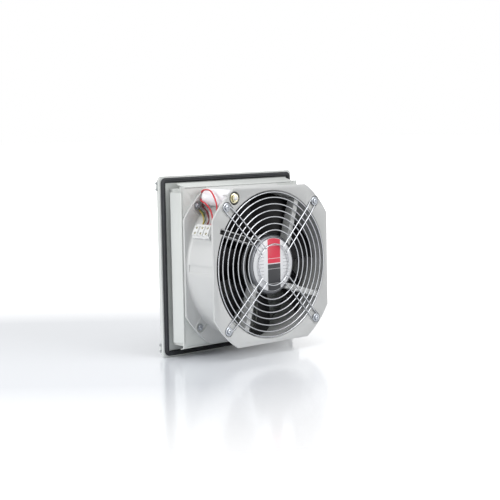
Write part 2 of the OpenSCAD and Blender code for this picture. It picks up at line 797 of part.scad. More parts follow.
module rotor_ring() {
    color([0.55, 0.5, 0.45])
        disc(0, 0, rotor_in_y + rotor_wall + ring_inset, rotor_d - rotor_wall - 2 * ring_inset,
             rotor_r - rotor_wall, ring_in_r);
}

// A blade's point by its radius, its place along the chord from -0.5 to 0.5, and its side
blade_thick = 2;
blade_mid_y = (rotor_in_y + rotor_out_y) / 2;
function blade_share(r) = (r - rotor_r) / (tip_r - rotor_r);
function blade_pitch(r) = 36 - 11 * blade_share(r);
blade_chord_root = 1.75;
blade_chord_gain = 0.55;
function blade_chord(r) = rotor_d * (blade_chord_root + blade_chord_gain * blade_share(r));
function blade_point(r, s, side) = let (
    c = blade_chord(r), b = blade_pitch(r), bow = c * 0.24 * (0.25 - s * s) + side * blade_thick / 2,
    t = s * c * cos(b) - bow * sin(b), y = blade_mid_y + s * c * sin(b) + bow * cos(b),
    a = t / r * 180 / PI + 8 * blade_share(r) * blade_share(r))
    [r * cos(a), y, r * sin(a)];

module blade() {
    n = 8;
    m = 5;
    inner_r = rotor_r + sleeve_t / 2;
    ring = 2 * (n + 1);
    points = [for (j = [0:m]) let (r = inner_r + (tip_r - inner_r) * j / m) each concat(
        [for (i = [0:n]) blade_point(r, i / n - 0.5, 1)],
        [for (i = [n:-1:0]) blade_point(r, i / n - 0.5, -1)])];
    tip = m * ring;
    faces = concat(
        [for (i = [0:n - 1]) let (k = ring - 1 - i)
            each [[i, i + 1, k - 1], [i, k - 1, k],
                  [tip + i, tip + k - 1, tip + i + 1], [tip + i, tip + k, tip + k - 1]]],
        [for (j = [0:m - 1], i = [0:ring - 1]) let (k = (i + 1) % ring)
            each [[j * ring + i, (j + 1) * ring + i, (j + 1) * ring + k],
                  [j * ring + i, (j + 1) * ring + k, j * ring + k]]]);
    polyhedron(points, faces);
}

module impeller() {
    color([0.13, 0.13, 0.14]) {
        disc(0, 0, rotor_in_y + rotor_wall, rotor_d - rotor_wall, sleeve_r, rotor_r + pin_fit);
        for (i = [0:blade_count - 1]) rotate([0, i * 360 / blade_count, 0]) blade();
    }
}

// Place along Y of the middle of a ring wire, which stands out more towards the hub
function ring_y(r) = outer_ring_y + guard_rise * (ring_rs[7] - r) / (ring_rs[7] - ring_rs[0]);

// The two wires of a leg, which lie on the rings, and the loop that joins them round the screw
function leg_mids() = let (
    inner = sqrt(pow(ring_rs[0], 2) - pow(loop_r, 2)) - wire_r,
    outer = sqrt(pow(ring_rs[7], 2) - pow(loop_r, 2)) + wire_r,
    top_y = ring_y(ring_rs[7]) + 2 * wire_r + pin_fit, flat_at = screw_at * sqrt(2) - loop_flat, steps = 12)
    concat(
        [[inner, top_y + guard_rise, -loop_r], [outer, top_y, -loop_r], [flat_at, loop_y, -loop_r]],
        [for (i = [0:steps]) let (a = 180 * i / steps - 90)
            [screw_at * sqrt(2) + loop_r * cos(a), loop_y, loop_r * sin(a)]],
        [[flat_at, loop_y, loop_r], [outer, top_y, loop_r], [inner, top_y + guard_rise, loop_r]]);

module finger_guard() {
    color([0.8, 0.81, 0.82]) {
        for (r = ring_rs) turned() translate([r, ring_y(r)]) circle(wire_r, $fn = 24);
        for (a = [45:90:315]) rotate([0, a, 0]) tube(leg_mids(), wire_r, [0, 1, 0]);
    }
}

guard_seat_y = loop_y + wire_r;

module guard_washers() {
    color([0.85, 0.86, 0.88]) at_screws() disc(0, 0, guard_seat_y, washer_t, washer_r, screw_r);
}

module guard_screws() {
    color([0.78, 0.79, 0.81]) at_screws() pan_screw(guard_seat_y + washer_t, plate_t + 2 * wire_r + 4);
}

module capacitor() {
    color([0.93, 0.93, 0.94]) {
        translate([capacitor_x, 0, capacitor_z]) turned() polygon([
            [0, capacitor_in_y], [capacitor_r - rim_t, capacitor_in_y], [capacitor_r, capacitor_in_y + rim_t],
            [capacitor_r, capacitor_out_y - rim_t], [capacitor_r - rim_t, capacitor_out_y],
            [stud_r, capacitor_out_y], [stud_r, capacitor_out_y + stud_len], [0, capacitor_out_y + stud_len]
        ]);
    }
}

module capacitor_seat() {
    color([0.1, 0.1, 0.1]) disc(capacitor_x, capacitor_z, capacitor_out_y, plate_t / 2, seat_r, stud_r);
}

module capacitor_washer() {
    color([0.78, 0.74, 0.5])
        disc(capacitor_x, capacitor_z, capacitor_out_y + plate_t / 2, zinc_washer_t, zinc_washer_r, stud_r);
}

module capacitor_nut() {
    y0 = capacitor_out_y + plate_t / 2 + zinc_washer_t;
    color([0.85, 0.8, 0.52]) translate([capacitor_x, y0, capacitor_z]) rotate([-90, 0, 0]) difference() {
        cylinder(h = nut_h, r = nut_r, $fn = 6);
        translate([0, 0, -cut]) cylinder(h = nut_h + 2 * cut, r = stud_r);
    }
}

// A bent strip outside the plate's trimmed corner, beside the capacitor hole
module capacitor_bracket() {
    a = atan2(capacitor_z, capacitor_x);
    color([0.74, 0.75, 0.76]) rotate([0, -a, 0]) difference() {
        union() {
            translate([corner_d / 2 + pin_fit, fan_out_y - plate_t - bracket_lip, -bracket_w / 2])
                cube([bracket_t, plate_t + bracket_lip, bracket_w]);
            translate([corner_d / 2 - bracket_t, plate_out_y - bracket_t, -bracket_w / 2])
                cube([2 * bracket_t, bracket_t, bracket_w]);
        }
        disc(norm([capacitor_x, capacitor_z]), 0, capacitor_in_y, capacitor_len + cut, capacitor_r + gap);
    }
}

// Carries its children to the terminal block: x off the duct, z up along its side
module at_terminal() {
    rotate([0, -terminal_a, 0]) translate([terminal_seat_r, 0, 0]) children();
}

function pole_y(i) = terminal_in_y + (i + 0.5) * pole_pitch;

// One moulded pole for each conductor
module terminal_block() {
    step = terminal_h / 3;
    pole_len = pole_pitch - 2 * pin_fit;
    color([0.9, 0.9, 0.88]) at_terminal() for (i = [0:pole_count - 1]) translate([0, pole_y(i), 0]) difference() {
        union() {
            translate([0, -pole_len / 2, -terminal_w / 2]) cube([terminal_h - step, pole_len, terminal_w]);
            translate([0, -pole_pitch * 0.4, -terminal_w / 2 + step])
                cube([terminal_h, pole_pitch * 0.8, terminal_w - 2 * step]);
        }
        for (s = [-1, 1]) translate([terminal_h - clamp_depth, 0, s * terminal_w / 5]) rotate([0, 90, 0])
            cylinder(h = clamp_depth + cut, r = clamp_r);
        translate([terminal_h / 3, 0, -terminal_w / 2 - cut]) cylinder(h = entry_len + cut, r = entry_r);
    }
}

module terminal_screws() {
    color([0.75, 0.72, 0.6]) at_terminal() for (i = [0:pole_count - 1], s = [-1, 1])
        translate([terminal_h - clamp_depth, pole_y(i), s * terminal_w / 5]) rotate([0, 90, 0]) difference() {
            cylinder(h = clamp_depth / 2, r = clamp_screw_r);
            translate([-clamp_screw_r, -drive_w / 3, clamp_depth / 4]) cube([2 * clamp_screw_r, drive_w * 2 / 3, clamp_depth]);
        }
}

// A smooth curve through the route's points: the place at parameter u, from 0 to its last point
function curve(p, u) = let (
    last = len(p) - 1, i = min(floor(u), last - 1), f = u - i,
    a = p[max(i - 1, 0)], b = p[i], c = p[i + 1], d = p[min(i + 2, last)])
    0.5 * (2 * b + (c - a) * f + (2 * a - 5 * b + 4 * c - d) * f * f + (3 * b - a - 3 * c + d) * f * f * f);

function unit(v) = v / norm(v);

// A tube of one smooth skin through the mids; its rings start square to the vector across
module tube(mids, r, across, sides = lead_sides) {
    n = len(mids) - 1;
    points = [for (i = [0:n]) let (
        t = unit(unit(mids[min(i + 1, n)] - mids[min(i, n - 1)]) + unit(mids[max(i, 1)] - mids[max(i - 1, 0)])),
        u = unit(cross(t, across)), v = cross(t, u))
        each [for (k = [0:sides - 1]) let (a = 360 * k / sides) mids[i] + r * (cos(a) * u + sin(a) * v)]];
    faces = concat(
        [[for (k = [0:sides - 1]) k]],
        [for (i = [0:n - 1], k = [0:sides - 1]) let (j = (k + 1) % sides, o = i * sides)
            each [[o + k, o + sides + k, o + sides + j], [o + k, o + sides + j, o + j]]],
        [[for (k = [sides - 1:-1:0]) n * sides + k]]);
    polyhedron(points, faces);
}

// A lead along a route, with a ring at each of n + 1 even steps
module lead(route, r, n) {
    last = len(route) - 1;
    tube([for (i = [0:n]) curve(route, last * i / n)], r, [1, 0, 0]);
}

module red_lead_upper() { color([0.75, 0.1, 0.16]) lead(red_upper_route, lead_r, 22); }
module red_lead_lower() { color([0.75, 0.1, 0.16]) lead(red_lower_route, lead_r, 16); }
module winding_lead_outer() { color([0.5, 0.16, 0.18]) lead(winding_outer_route, winding_lead_r, 11); }
module winding_lead_inner() { color([0.5, 0.16, 0.18]) lead(winding_inner_route, winding_lead_r, 11); }
module earth_lead_outer() { color([0.75, 0.7, 0.2]) lead(earth_outer_route, earth_lead_r, 8); }
module earth_lead_inner() { color([0.3, 0.55, 0.25]) lead(earth_inner_route, earth_lead_r, 8); }

// The motor cable's line: straight in its channel from the cap, then a bend down through the floor
function cable_mids() = let (
    along = cable_run / norm(cable_run), start = cable_out - along * (norm(cable_run) - cap_r + strut_in_r + cut),
    steps = 8)
    concat(
        [[start[0], cable_y, start[1]]],
        [for (i = [0:steps]) let (a = 90 * i / steps, at = cable_out - along * cable_bend_r * (1 - sin(a)))
            [at[0], cable_y - cable_bend_r * (1 - cos(a)), at[1]]],
        [[cable_out[0], terminal_out_y + gap, cable_out[1]]]);

module motor_cable() {
    color([0.07, 0.07, 0.08]) tube(cable_mids(), cable_r, [cable_run[1], 0, -cable_run[0]], 16);
}

// A ring tag under the fan screw at the top on the +X side
module earth_tag() {
    color([0.78, 0.76, 0.6]) translate([screw_at, fan_seat_y, screw_at]) rotate([0, -tag_a, 0]) {
        difference() {
            union() {
                disc(0, 0, 0, tag_t, tag_r);
                translate([0, 0, -tag_half_w]) cube([tag_len, tag_t, 2 * tag_half_w]);
            }
            disc(0, 0, -cut, tag_t + 2 * cut, screw_r);
        }
    }
}

base_housing();
gasket();
retaining_flap_left();
retaining_flap_right();
retaining_flap_top();
retaining_flap_bottom();
cover_frame();
cover_louvres();
hinge_ears();
hinge_pins();
filter_grid();
filter_mat();
fan_plate_inner();
fan_plate_outer();
fan_duct();
fan_struts();
fan_screws();
fan_washers();
motor_cap();
rating_label();
motor_screws();
stator_core();
stator_windings();
shaft_bearings();
motor_shaft();
shaft_circlip();
rotor_cup();
rotor_ring();
impeller();
finger_guard();
guard_washers();
guard_screws();
capacitor();
capacitor_seat();
capacitor_washer();
capacitor_nut();
capacitor_bracket();
terminal_block();
terminal_screws();
motor_cable();
red_lead_upper();
red_lead_lower();
winding_lead_outer();
winding_lead_inner();
earth_lead_outer();
earth_lead_inner();
earth_tag();
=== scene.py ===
"""Enclosure filter fan: a snap-in panel housing with a louvred cover, and an axial fan on its back.

All lengths are in metres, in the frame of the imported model: y = 0 is the face that seals on the
panel, +Y runs into the enclosure, +Z is up and +X is the hinged side of the cover.
"""

import json
import math

import bmesh
import bpy
import numpy as np
from mathutils import Matrix, Vector

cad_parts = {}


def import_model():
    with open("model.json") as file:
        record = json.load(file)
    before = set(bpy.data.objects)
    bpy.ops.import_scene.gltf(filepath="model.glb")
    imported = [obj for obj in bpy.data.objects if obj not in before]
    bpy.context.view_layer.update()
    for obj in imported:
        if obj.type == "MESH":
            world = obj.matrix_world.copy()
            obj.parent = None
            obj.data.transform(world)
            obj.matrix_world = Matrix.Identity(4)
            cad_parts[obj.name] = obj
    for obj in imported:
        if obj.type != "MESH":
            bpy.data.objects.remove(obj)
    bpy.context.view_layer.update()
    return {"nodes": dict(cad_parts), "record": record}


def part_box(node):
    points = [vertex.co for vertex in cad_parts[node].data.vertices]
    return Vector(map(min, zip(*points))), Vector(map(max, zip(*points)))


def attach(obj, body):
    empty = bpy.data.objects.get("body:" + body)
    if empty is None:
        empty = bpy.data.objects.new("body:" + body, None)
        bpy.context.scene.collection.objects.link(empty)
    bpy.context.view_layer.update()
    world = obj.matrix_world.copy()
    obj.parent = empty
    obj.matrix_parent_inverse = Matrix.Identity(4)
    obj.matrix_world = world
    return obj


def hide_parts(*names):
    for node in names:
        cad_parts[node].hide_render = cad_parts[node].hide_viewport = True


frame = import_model()

# Sizes of the fan
FAN_OUT_Y = 0.111
SCREW_AT = 0.108
POCKET_FLOOR_Y = 0.10905

# Sizes of the finger guard
RING_RADII = (0.037, 0.062, 0.0735, 0.0855, 0.097, 0.1085, 0.12, 0.1295)
WIRE_R = 0.0011
OUTER_RING_Y = 0.1112
GUARD_RISE = 0.004
LEG_HALF_GAP = 0.007
LEG_LIFT = 0.00005
LEG_LOW = 0.0001
LEG_TAPER = 0.003
LEG_BEND = 0.0015
LOOP_FLAT = 0.006
LOOP_EASE = 0.001

# Sizes of the screws and washers
SCREW_R = 0.0025
HEAD_R = 0.00475
HEAD_H = 0.003
HEAD_RIM = 0.55
HEAD_ROUND = 0.98
HEAD_UNDER = 0.985
HEAD_CHAMFER = 0.00015
SHANK_TIP = 0.0001
RECESS_HALF = 0.00048
RECESS_WALL = 0.00024
RECESS_REACH = 0.0027
RECESS_END = 0.0006
RECESS_DEPTH = 0.0016
RECESS_TURN = 28
GUARD_SCREW_LENGTH = 0.0107
SHANK_SHORT = 0.0002
WASHER_T = 0.0012
WASHER_SOFT = 0.25
GUARD_WASHER_R = 0.008
INNER_WASHER_R = 0.006

# Sizes of the ridges round the screw pads
PAD_HALF = 0.0103
RIDGE_R = 0.0009
INNER_RIDGE_START = 0.1352
OUTER_RIDGE_START = 0.1395

# Sizes of the motor
CAP_R = 0.054
CAP_D = 0.014
CAP_EDGE_R = 0.006
CAP_WALL = 0.003
CAP_IN_R = 0.046
CAP_CHAMFER = 0.0004
CAP_TUBE_R = 0.012
CAP_TUBE_IN_R = 0.009
CAP_FLAT_R = 0.049
LABEL_R = 0.048
LABEL_T = 0.0004
LABEL_SOFT = 0.3
ROTOR_R = 0.052
ROTOR_IN_Y = 0.0474
ROTOR_OUT_Y = 0.0854
ROTOR_WALL = 0.0025
ROTOR_EDGE_R = 0.0025
SLEEVE_R = 0.054
SLEEVE_FIT = 0.00005
SLEEVE_SOFT = 0.0004
SHAFT_R = 0.004
COIL_IN_R = 0.016
COIL_FIT = 0.00035
COIL_CLEAR = 0.0003
COIL_THICK = 0.0045
COIL_LOBE = 0.14

# Sizes of the print and the painted edge highlight on the label, with places across and up from the fan axis
PRINT_R = 0.0472
# Width of the painted highlight ring round the label's edge
EDGE_HIGHLIGHT_WIDTH = 0.0005
PRINT_SOFT = 0.00015
BAND_X = (-0.0185, 0.0125)
BAND_RED_Z = (0.0025, 1.0)
BAND_DARK_Z = (-1.0, 0.001)
BAND_RED_RULES_Z = (0.0105, 0.0335)
BAND_DARK_RULES_Z = (-0.008, -0.0345)
BAND_RULE_T = 0.0008
SIDE_RULES_X = (-0.032, 0.029)
SIDE_RULE_HALF = 0.007
SIDE_RULES_R = 0.0415
SIDE_RULES = 6
SIDE_RULE_Z = -0.0165
SIDE_RULE_PITCH = 0.0062
SIDE_RULE_T = 0.00055

# Sizes of the impeller blades
BLADES = 7
BLADE_TIP_R = 0.129
BLADE_ROOT_R = 0.053
BLADE_THICK = 0.002
BLADE_CHORD_ROOT = 1.75
BLADE_CHORD_GAIN = 0.55
BLADE_PITCH_ROOT = 36
BLADE_PITCH_DROP = 11
BLADE_BOW = 0.24
BLADE_SWEEP = 8

# Sizes of the gasket
GASKET_OUT = 0.1585
GASKET_IN = 0.1495
BEAD_OUT = 0.1565
BEAD_IN = 0.1515
GASKET_BACK_Y = -0.005
GASKET_STEP_Y = -0.0025
GASKET_CORNER_R = 0.01
GASKET_SOFT = 0.0003
BEAD_LIP_R = 0.0011
BEAD_DIP_Y = -0.0013

# Sizes of the filter mat
MAT_HALF = 0.134
MAT_FRONT_Y = -0.0013
MAT_BACK_Y = 0.0147
MAT_SQUARE = 10
MAT_FILL = 0.93
MAT_WAVE = 0.06

# Sizes of the capacitor and its stud
CAPACITOR_X = 0.0886
CAPACITOR_Z = 0.1227
CAPACITOR_R = 0.0155
CAPACITOR_IN_Y = 0.0405
CAPACITOR_OUT_Y = 0.1065
CAPACITOR_RIM_R = 0.0015
CAPACITOR_NECK_Y = 0.005
CAPACITOR_BODY_Y = 0.0058
CAPACITOR_END_Y = 0.004
CAPACITOR_STEP = 0.0005
CAPACITOR_FOOT_Y = 0.0012
CAPACITOR_FOOT_R = 0.011
CAPACITOR_SEAM_R = 0.0125
STUD_R = 0.004
STUD_END_Y = 0.1155
STUD_PITCH = 0.00125
THREAD_DEPTH = 0.00045
THREAD_CHAMFER = 0.0006

# Finishing of new pieces, and of the copies of CAD nodes
SAME_PLACE = 1e-7
NO_LENGTH = 1e-8
JOIN_WITHIN = 2e-6
FLAT_WITHIN = math.radians(0.5)
EDGE_FROM = math.radians(35)
EDGE_SEGMENTS = 2

# Angles in degrees of the rings of a tube's round end
END_ANGLES = (75, 45, 15)

# The smallest radius, where a turned shape closes on its axis
AXIS_R = 1e-5

# Place of the floor that the object stands on, and the part of it that keeps the shadow
FLOOR_HALF = 30.0
FLOOR_Z = -0.1615
FLOOR_BACK_Y = -0.6
FLOOR_FRONT_Y = 0.6
FLOOR_RIGHT_X = -0.22
FLOOR_LEFT_X = 1.0
FLOOR_FADE = 0.26


def srgb(red, green, blue):
    """A colour from 0 to 255 a channel, as the linear colour that Blender takes."""
    parts = [c / 255 for c in (red, green, blue)]
    return tuple(c / 12.92 if c <= 0.04045 else ((c + 0.055) / 1.055) ** 2.4 for c in parts) + (1.0,)


def scaled(colour, factor):
    """The same colour, lighter or darker."""
    return tuple(min(1.0, c * factor) for c in colour[:3]) + (1.0,)


# The camera

CAMERA_AZIMUTH = 137.236
CAMERA_ELEVATION = 5.4842
CAMERA_ROLL = -1.0773
CAMERA_DISTANCE = 2.370889
CAMERA_ASIDE = 0.0348951
CAMERA_UP = 0.0194991
CAMERA_LENS = 92.355


def camera():
    """A camera that looks at the fan side, set back along its direction and moved across the view."""
    azimuth = math.radians(CAMERA_AZIMUTH)
    elevation = math.radians(CAMERA_ELEVATION)
    roll = math.radians(CAMERA_ROLL)
    back = Vector((
        math.sin(azimuth) * math.cos(elevation),
        -math.cos(azimuth) * math.cos(elevation),
        math.sin(elevation),
    ))
    right = (-back).cross(Vector((0, 0, 1))).normalized()
    up = right.cross(-back)
    across = right * math.cos(roll) + up * math.sin(roll)
    above = up * math.cos(roll) - right * math.sin(roll)
    place = back * CAMERA_DISTANCE + across * CAMERA_ASIDE + above * CAMERA_UP
    data = bpy.data.cameras.new("camera")
    data.sensor_width = 36
    data.lens = CAMERA_LENS
    data.clip_end = 100
    view = bpy.data.objects.new("camera", data)
    turn = Matrix((across, above, back)).transposed().to_4x4()
    view.matrix_world = Matrix.Translation(place) @ turn
    bpy.context.scene.collection.objects.link(view)
    bpy.context.scene.camera = view


# Surfaces

def grid_faces(rows, columns, wrap_rows=False, wrap_columns=False):
    """The four-sided faces of a grid of points, closed on itself where it wraps."""
    i = np.arange(rows if wrap_rows else rows - 1)[:, None]
    j = np.arange(columns if wrap_columns else columns - 1)[None, :]
    next_i = (i + 1) % rows
    next_j = (j + 1) % columns
    corners = [i * columns + j, i * columns + next_j, next_i * columns + next_j, next_i * columns + j]
    return np.stack([c + 0 * (i + j) for c in corners], -1).reshape(-1, 4)


def fan_faces(ring, centre):
    """The triangles between a ring of points and the point at its middle."""
    return np.stack([ring, np.roll(ring, -1), np.full(len(ring), centre)], -1)


def skin(points, wrap_rows=False, wrap_columns=False, cap_ends=False):
    """A grid of points as a surface; capped ends meet at the middle of the first and last row."""
    rows, columns = points.shape[:2]
    places = points.reshape(-1, 3)
    faces = [grid_faces(rows, columns, wrap_rows, wrap_columns)]
    if cap_ends:
        first = np.arange(columns)
        last = first + (rows - 1) * columns
        faces.append(fan_faces(first[::-1], rows * columns))
        faces.append(fan_faces(last, rows * columns + 1))
        places = np.concatenate([places, points[0].mean(0)[None], points[-1].mean(0)[None]])
    return places, faces


def merged(surfaces):
    """Several surfaces as one set of places and faces."""
    places = []
    faces = []
    count = 0
    for surface_places, surface_faces in surfaces:
        places.append(surface_places)
        faces += [f + count for f in surface_faces]
        count += len(surface_places)
    return np.concatenate(places), faces


def outward(mesh):
    """Joins points that lie on each other and turns all faces of closed shells outwards."""
    work = bmesh.new()
    work.from_mesh(mesh)
    bmesh.ops.remove_doubles(work, verts=work.verts, dist=SAME_PLACE)
    bmesh.ops.dissolve_degenerate(work, edges=work.edges, dist=NO_LENGTH)
    bmesh.ops.recalc_face_normals(work, faces=work.faces)
    work.to_mesh(mesh)
    work.free()


def place_piece(name, mesh, slot, body, nodes):
    """Puts a mesh into the scene as a piece that rides on a body and stands for CAD nodes."""
    mesh.materials.clear()
    mesh.materials.append(MATERIALS[slot])
    piece = bpy.data.objects.new(name, mesh)
    bpy.context.scene.collection.objects.link(piece)
    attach(piece, body)
    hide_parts(*nodes)
    return piece


def piece_from(name, surfaces, slot, body, *nodes):
    """A piece from one or more surfaces, with its faces turned outwards and shaded smooth."""
    places, faces = merged(surfaces)
    mesh = bpy.data.meshes.new(name)
    mesh.from_pydata(places.tolist(), [], [f for part in faces for f in part.tolist()])
    outward(mesh)
    mesh.shade_smooth()
    return place_piece(name, mesh, slot, body, nodes)


def rounded_copy(node, name, width, slot, body, relief=()):
    """A copy of a CAD node with its flat faces whole again, its sharp edges rounded, and raised relief."""
    mesh = frame["nodes"][node].data.copy()
    mesh.name = name
    work = bmesh.new()
    work.from_mesh(mesh)
    bmesh.ops.remove_doubles(work, verts=work.verts, dist=JOIN_WITHIN)
    bmesh.ops.dissolve_limit(work, angle_limit=FLAT_WITHIN, verts=work.verts, edges=work.edges,
                             use_dissolve_boundaries=False)
    for places, faces in relief:
        corners = [work.verts.new(place) for place in places.tolist()]
        raised = [work.faces.new([corners[i] for i in face]) for part in faces for face in part.tolist()]
        bmesh.ops.recalc_face_normals(work, faces=raised)
    work.to_mesh(mesh)
    work.free()
    mesh.shade_smooth()
    piece = place_piece(name, mesh, slot, body, [node])
    edges = piece.modifiers.new("edges", "BEVEL")
    edges.width = width
    edges.segments = EDGE_SEGMENTS
    edges.limit_method = "ANGLE"
    edges.angle_limit = EDGE_FROM
    edges.use_clamp_overlap = True
    edges.harden_normals = True
    return piece


def turned(profile, x=0.0, z=0.0, steps=96, wrap=False):
    """A profile of radius and place along Y, carried round the line through (x, z)."""
    profile = np.asarray(profile, float)
    angle = np.linspace(0, 2 * np.pi, steps, endpoint=False)
    radius = profile[:, 0][:, None]
    points = np.stack([
        x + radius * np.cos(angle),
        profile[:, 1][:, None] + 0 * angle[None],
        z + radius * np.sin(angle),
    ], -1)
    return skin(points, wrap_rows=wrap, wrap_columns=True, cap_ends=not wrap)


def arc(centre, radius, start, end, steps):
    """Points on an arc in the plane of radius and Y, from one angle to another in degrees."""
    angle = np.radians(np.linspace(start, end, steps + 1))
    return np.stack([centre[0] + radius * np.cos(angle), centre[1] + radius * np.sin(angle)], -1)


def u_turn(middle, half, y, steps):
    """A half circle on the +X side of a place, from -Z round to +Z, at one place along Y."""
    angle = np.radians(np.linspace(-90, 90, steps))
    return np.stack([middle + half * np.cos(angle), y + 0 * angle, half * np.sin(angle)], -1)


def repeated(surface, count, start=0):
    """Copies of a surface, evenly spaced round the fan axis from an angle in degrees."""
    places, faces = surface
    copies = []
    for degrees in start + np.arange(count) * 360 / count:
        c = math.cos(math.radians(degrees))
        s = math.sin(math.radians(degrees))
        copies.append((places @ np.array([[c, 0, -s], [0, 1, 0], [s, 0, c]]), faces))
    return copies


def smooth_route(route, steps):
    """The curve through the route's points: in each stretch a cubic fixed by the four nearest points."""
    route = np.asarray(route, float)
    last = len(route) - 1
    place = np.linspace(0, last, steps + 1)
    i = np.minimum(place.astype(int), last - 1)
    f = (place - i)[:, None]
    a = route[np.maximum(i - 1, 0)]
    b = route[i]
    c = route[i + 1]
    d = route[np.minimum(i + 2, last)]
    square = (2 * a - 5 * b + 4 * c - d) * f ** 2
    cube = (3 * b - a - 3 * c + d) * f ** 3
    return 0.5 * (2 * b + (c - a) * f + square + cube)


def tube(path, radius, sides, across, rounded=True):
    """A round tube along a path: each ring is square to the path and starts square to across."""
    path = np.asarray(path, float)
    step = np.diff(path, axis=0)
    step /= np.linalg.norm(step, axis=1)[:, None]
    along = np.concatenate([step[:1], step[1:] + step[:-1], step[-1:]])
    along /= np.linalg.norm(along, axis=1)[:, None]
    if rounded:
        inset = np.radians(END_ANGLES)
        start = path[0] + along[0] * radius * (1 - np.sin(inset))[:, None]
        end = path[-1] - along[-1] * radius * (1 - np.sin(inset[::-1]))[:, None]
        size = np.concatenate([np.cos(inset), np.ones(len(path)), np.cos(inset[::-1])])
        path = np.concatenate([start, path, end])
        path[3] += along[0] * radius
        path[-4] -= along[-1] * radius
        along = np.concatenate([along[:1]] * 3 + [along] + [along[-1:]] * 3)
    else:
        size = np.ones(len(path))
    side = np.cross(along, np.asarray(across, float))
    side /= np.linalg.norm(side, axis=1)[:, None]
    other = np.cross(along, side)
    angle = np.linspace(0, 2 * np.pi, sides, endpoint=False)
    reach = radius * size[:, None, None]
    points = path[:, None] + reach * (
        np.cos(angle)[None, :, None] * side[:, None] + np.sin(angle)[None, :, None] * other[:, None])
    return skin(points, wrap_columns=True, cap_ends=True)


def round_bar(route, radius, sides, across):
    """A tube with flat ends along a path."""
    return tube(route, radius, sides, across, rounded=False)


# Materials

def add(tree, kind, inputs=None, **settings):
    """A node of a tree, with its settings and the plain values or links of its inputs."""
    made = tree.nodes.new(kind)
    for key, value in settings.items():
        setattr(made, key, value)
    for key, value in (inputs or {}).items():
        if isinstance(value, bpy.types.NodeSocket):
            tree.links.new(value, made.inputs[key])
        else:
            made.inputs[key].default_value = value
    return made


def new_group(name, inputs, outputs):
    """An empty node group with its sockets, and its input and output nodes."""
    tree = bpy.data.node_groups.new(name, "ShaderNodeTree")
    for label, kind in inputs:
        tree.interface.new_socket(label, in_out="INPUT", socket_type=kind)
    for label, kind in outputs:
        tree.interface.new_socket(label, in_out="OUTPUT", socket_type=kind)
    return tree, tree.nodes.new("NodeGroupInput"), tree.nodes.new("NodeGroupOutput")


def link_bump(tree, height, depth, strength):
    """The normal of a bump with the given height mask, depth in metres and strength."""
    return add(tree, "ShaderNodeBump", {
        "Height": height, "Distance": depth, "Strength": strength}).outputs["Normal"]


def axis_radius(tree, vector):
    """The distance of a place from the fan axis, and the place's three parts."""
    parts = add(tree, "ShaderNodeSeparateXYZ", {"Vector": vector})
    plane = add(tree, "ShaderNodeCombineXYZ", {"X": parts.outputs["X"], "Y": parts.outputs["Z"], "Z": 0.0})
    length = add(tree, "ShaderNodeVectorMath", {0: plane.outputs["Vector"]}, operation="LENGTH")
    return length.outputs["Value"], parts


def texture_group(name, mask):
    """An empty group for a texture: place, scale and depth in; a mask and the relief's normal out."""
    return new_group(
        name,
        [("Vector", "NodeSocketVector"), ("Scale", "NodeSocketFloat"), ("Depth", "NodeSocketFloat")],
        [(mask, "NodeSocketFloat"), ("Relief", "NodeSocketVector")],
    )


def grain_group():
    """Grain: fine texture at the given scale. Relief: its bump. Cloud: slow drift over the surface."""
    tree, given, result = texture_group("surface_grain", "Grain")
    tree.interface.new_socket("Cloud", in_out="OUTPUT", socket_type="NodeSocketFloat")
    place = given.outputs["Vector"]
    cloud = add(tree, "ShaderNodeTexNoise", {"Vector": place, "Scale": 14.0, "Detail": 3.0})
    grain = add(tree, "ShaderNodeTexNoise", {
        "Vector": place, "Scale": given.outputs["Scale"], "Detail": 4.0, "Roughness": 0.6})
    tree.links.new(cloud.outputs["Fac"], result.inputs["Cloud"])
    tree.links.new(grain.outputs["Fac"], result.inputs["Grain"])
    relief = link_bump(tree, grain.outputs["Fac"], given.outputs["Depth"], 0.6)
    tree.links.new(relief, result.inputs["Relief"])
    return tree


def brushed_group():
    """Streak: fine lines round the Y axis, as turning or polishing leaves them. Relief: their bump."""
    tree, given, result = texture_group("turned_metal", "Streak")
    radius, parts = axis_radius(tree, given.outputs["Vector"])
    line = add(tree, "ShaderNodeCombineXYZ", {"X": radius, "Y": parts.outputs["Y"], "Z": 0.0})
    streak = add(tree, "ShaderNodeTexNoise", {
        "Vector": line.outputs["Vector"], "Scale": given.outputs["Scale"], "Detail": 5.0, "Roughness": 0.7})
    tree.links.new(streak.outputs["Fac"], result.inputs["Streak"])
    relief = link_bump(tree, streak.outputs["Fac"], given.outputs["Depth"], 0.5)
    tree.links.new(relief, result.inputs["Relief"])
    return tree


SURFACE_GRAIN = grain_group()
TURNED_METAL = brushed_group()


def blank_material(name):
    """A material with its shader, its tree and the object coordinates."""
    material = bpy.data.materials.new(name)
    material.use_nodes = True
    tree = material.node_tree
    shader = tree.nodes["Principled BSDF"]
    coordinates = add(tree, "ShaderNodeTexCoord").outputs["Object"]
    return material, tree, shader, coordinates


def noise(tree, vector, scale, detail):
    """A noise texture's value at a place."""
    return add(tree, "ShaderNodeTexNoise", {
        "Vector": vector, "Scale": scale, "Detail": detail}).outputs["Fac"]


def spread(tree, value, low, high):
    """A texture value of about 0.3 to 0.7 stretched over a range."""
    return add(tree, "ShaderNodeMapRange", {
        "Value": value, "From Min": 0.3, "From Max": 0.7, "To Min": low, "To Max": high}).outputs["Result"]


def mixed(tree, factor, first, second):
    """One colour going over into another by a mask."""
    return add(tree, "ShaderNodeMix", {0: factor, 6: first, 7: second}, data_type="RGBA").outputs[2]


def dressed(tree, shader, colour, rough, normal):
    """Links a colour, a roughness and a normal to the shader."""
    tree.links.new(colour, shader.inputs["Base Color"])
    tree.links.new(rough, shader.inputs["Roughness"])
    tree.links.new(normal, shader.inputs["Normal"])


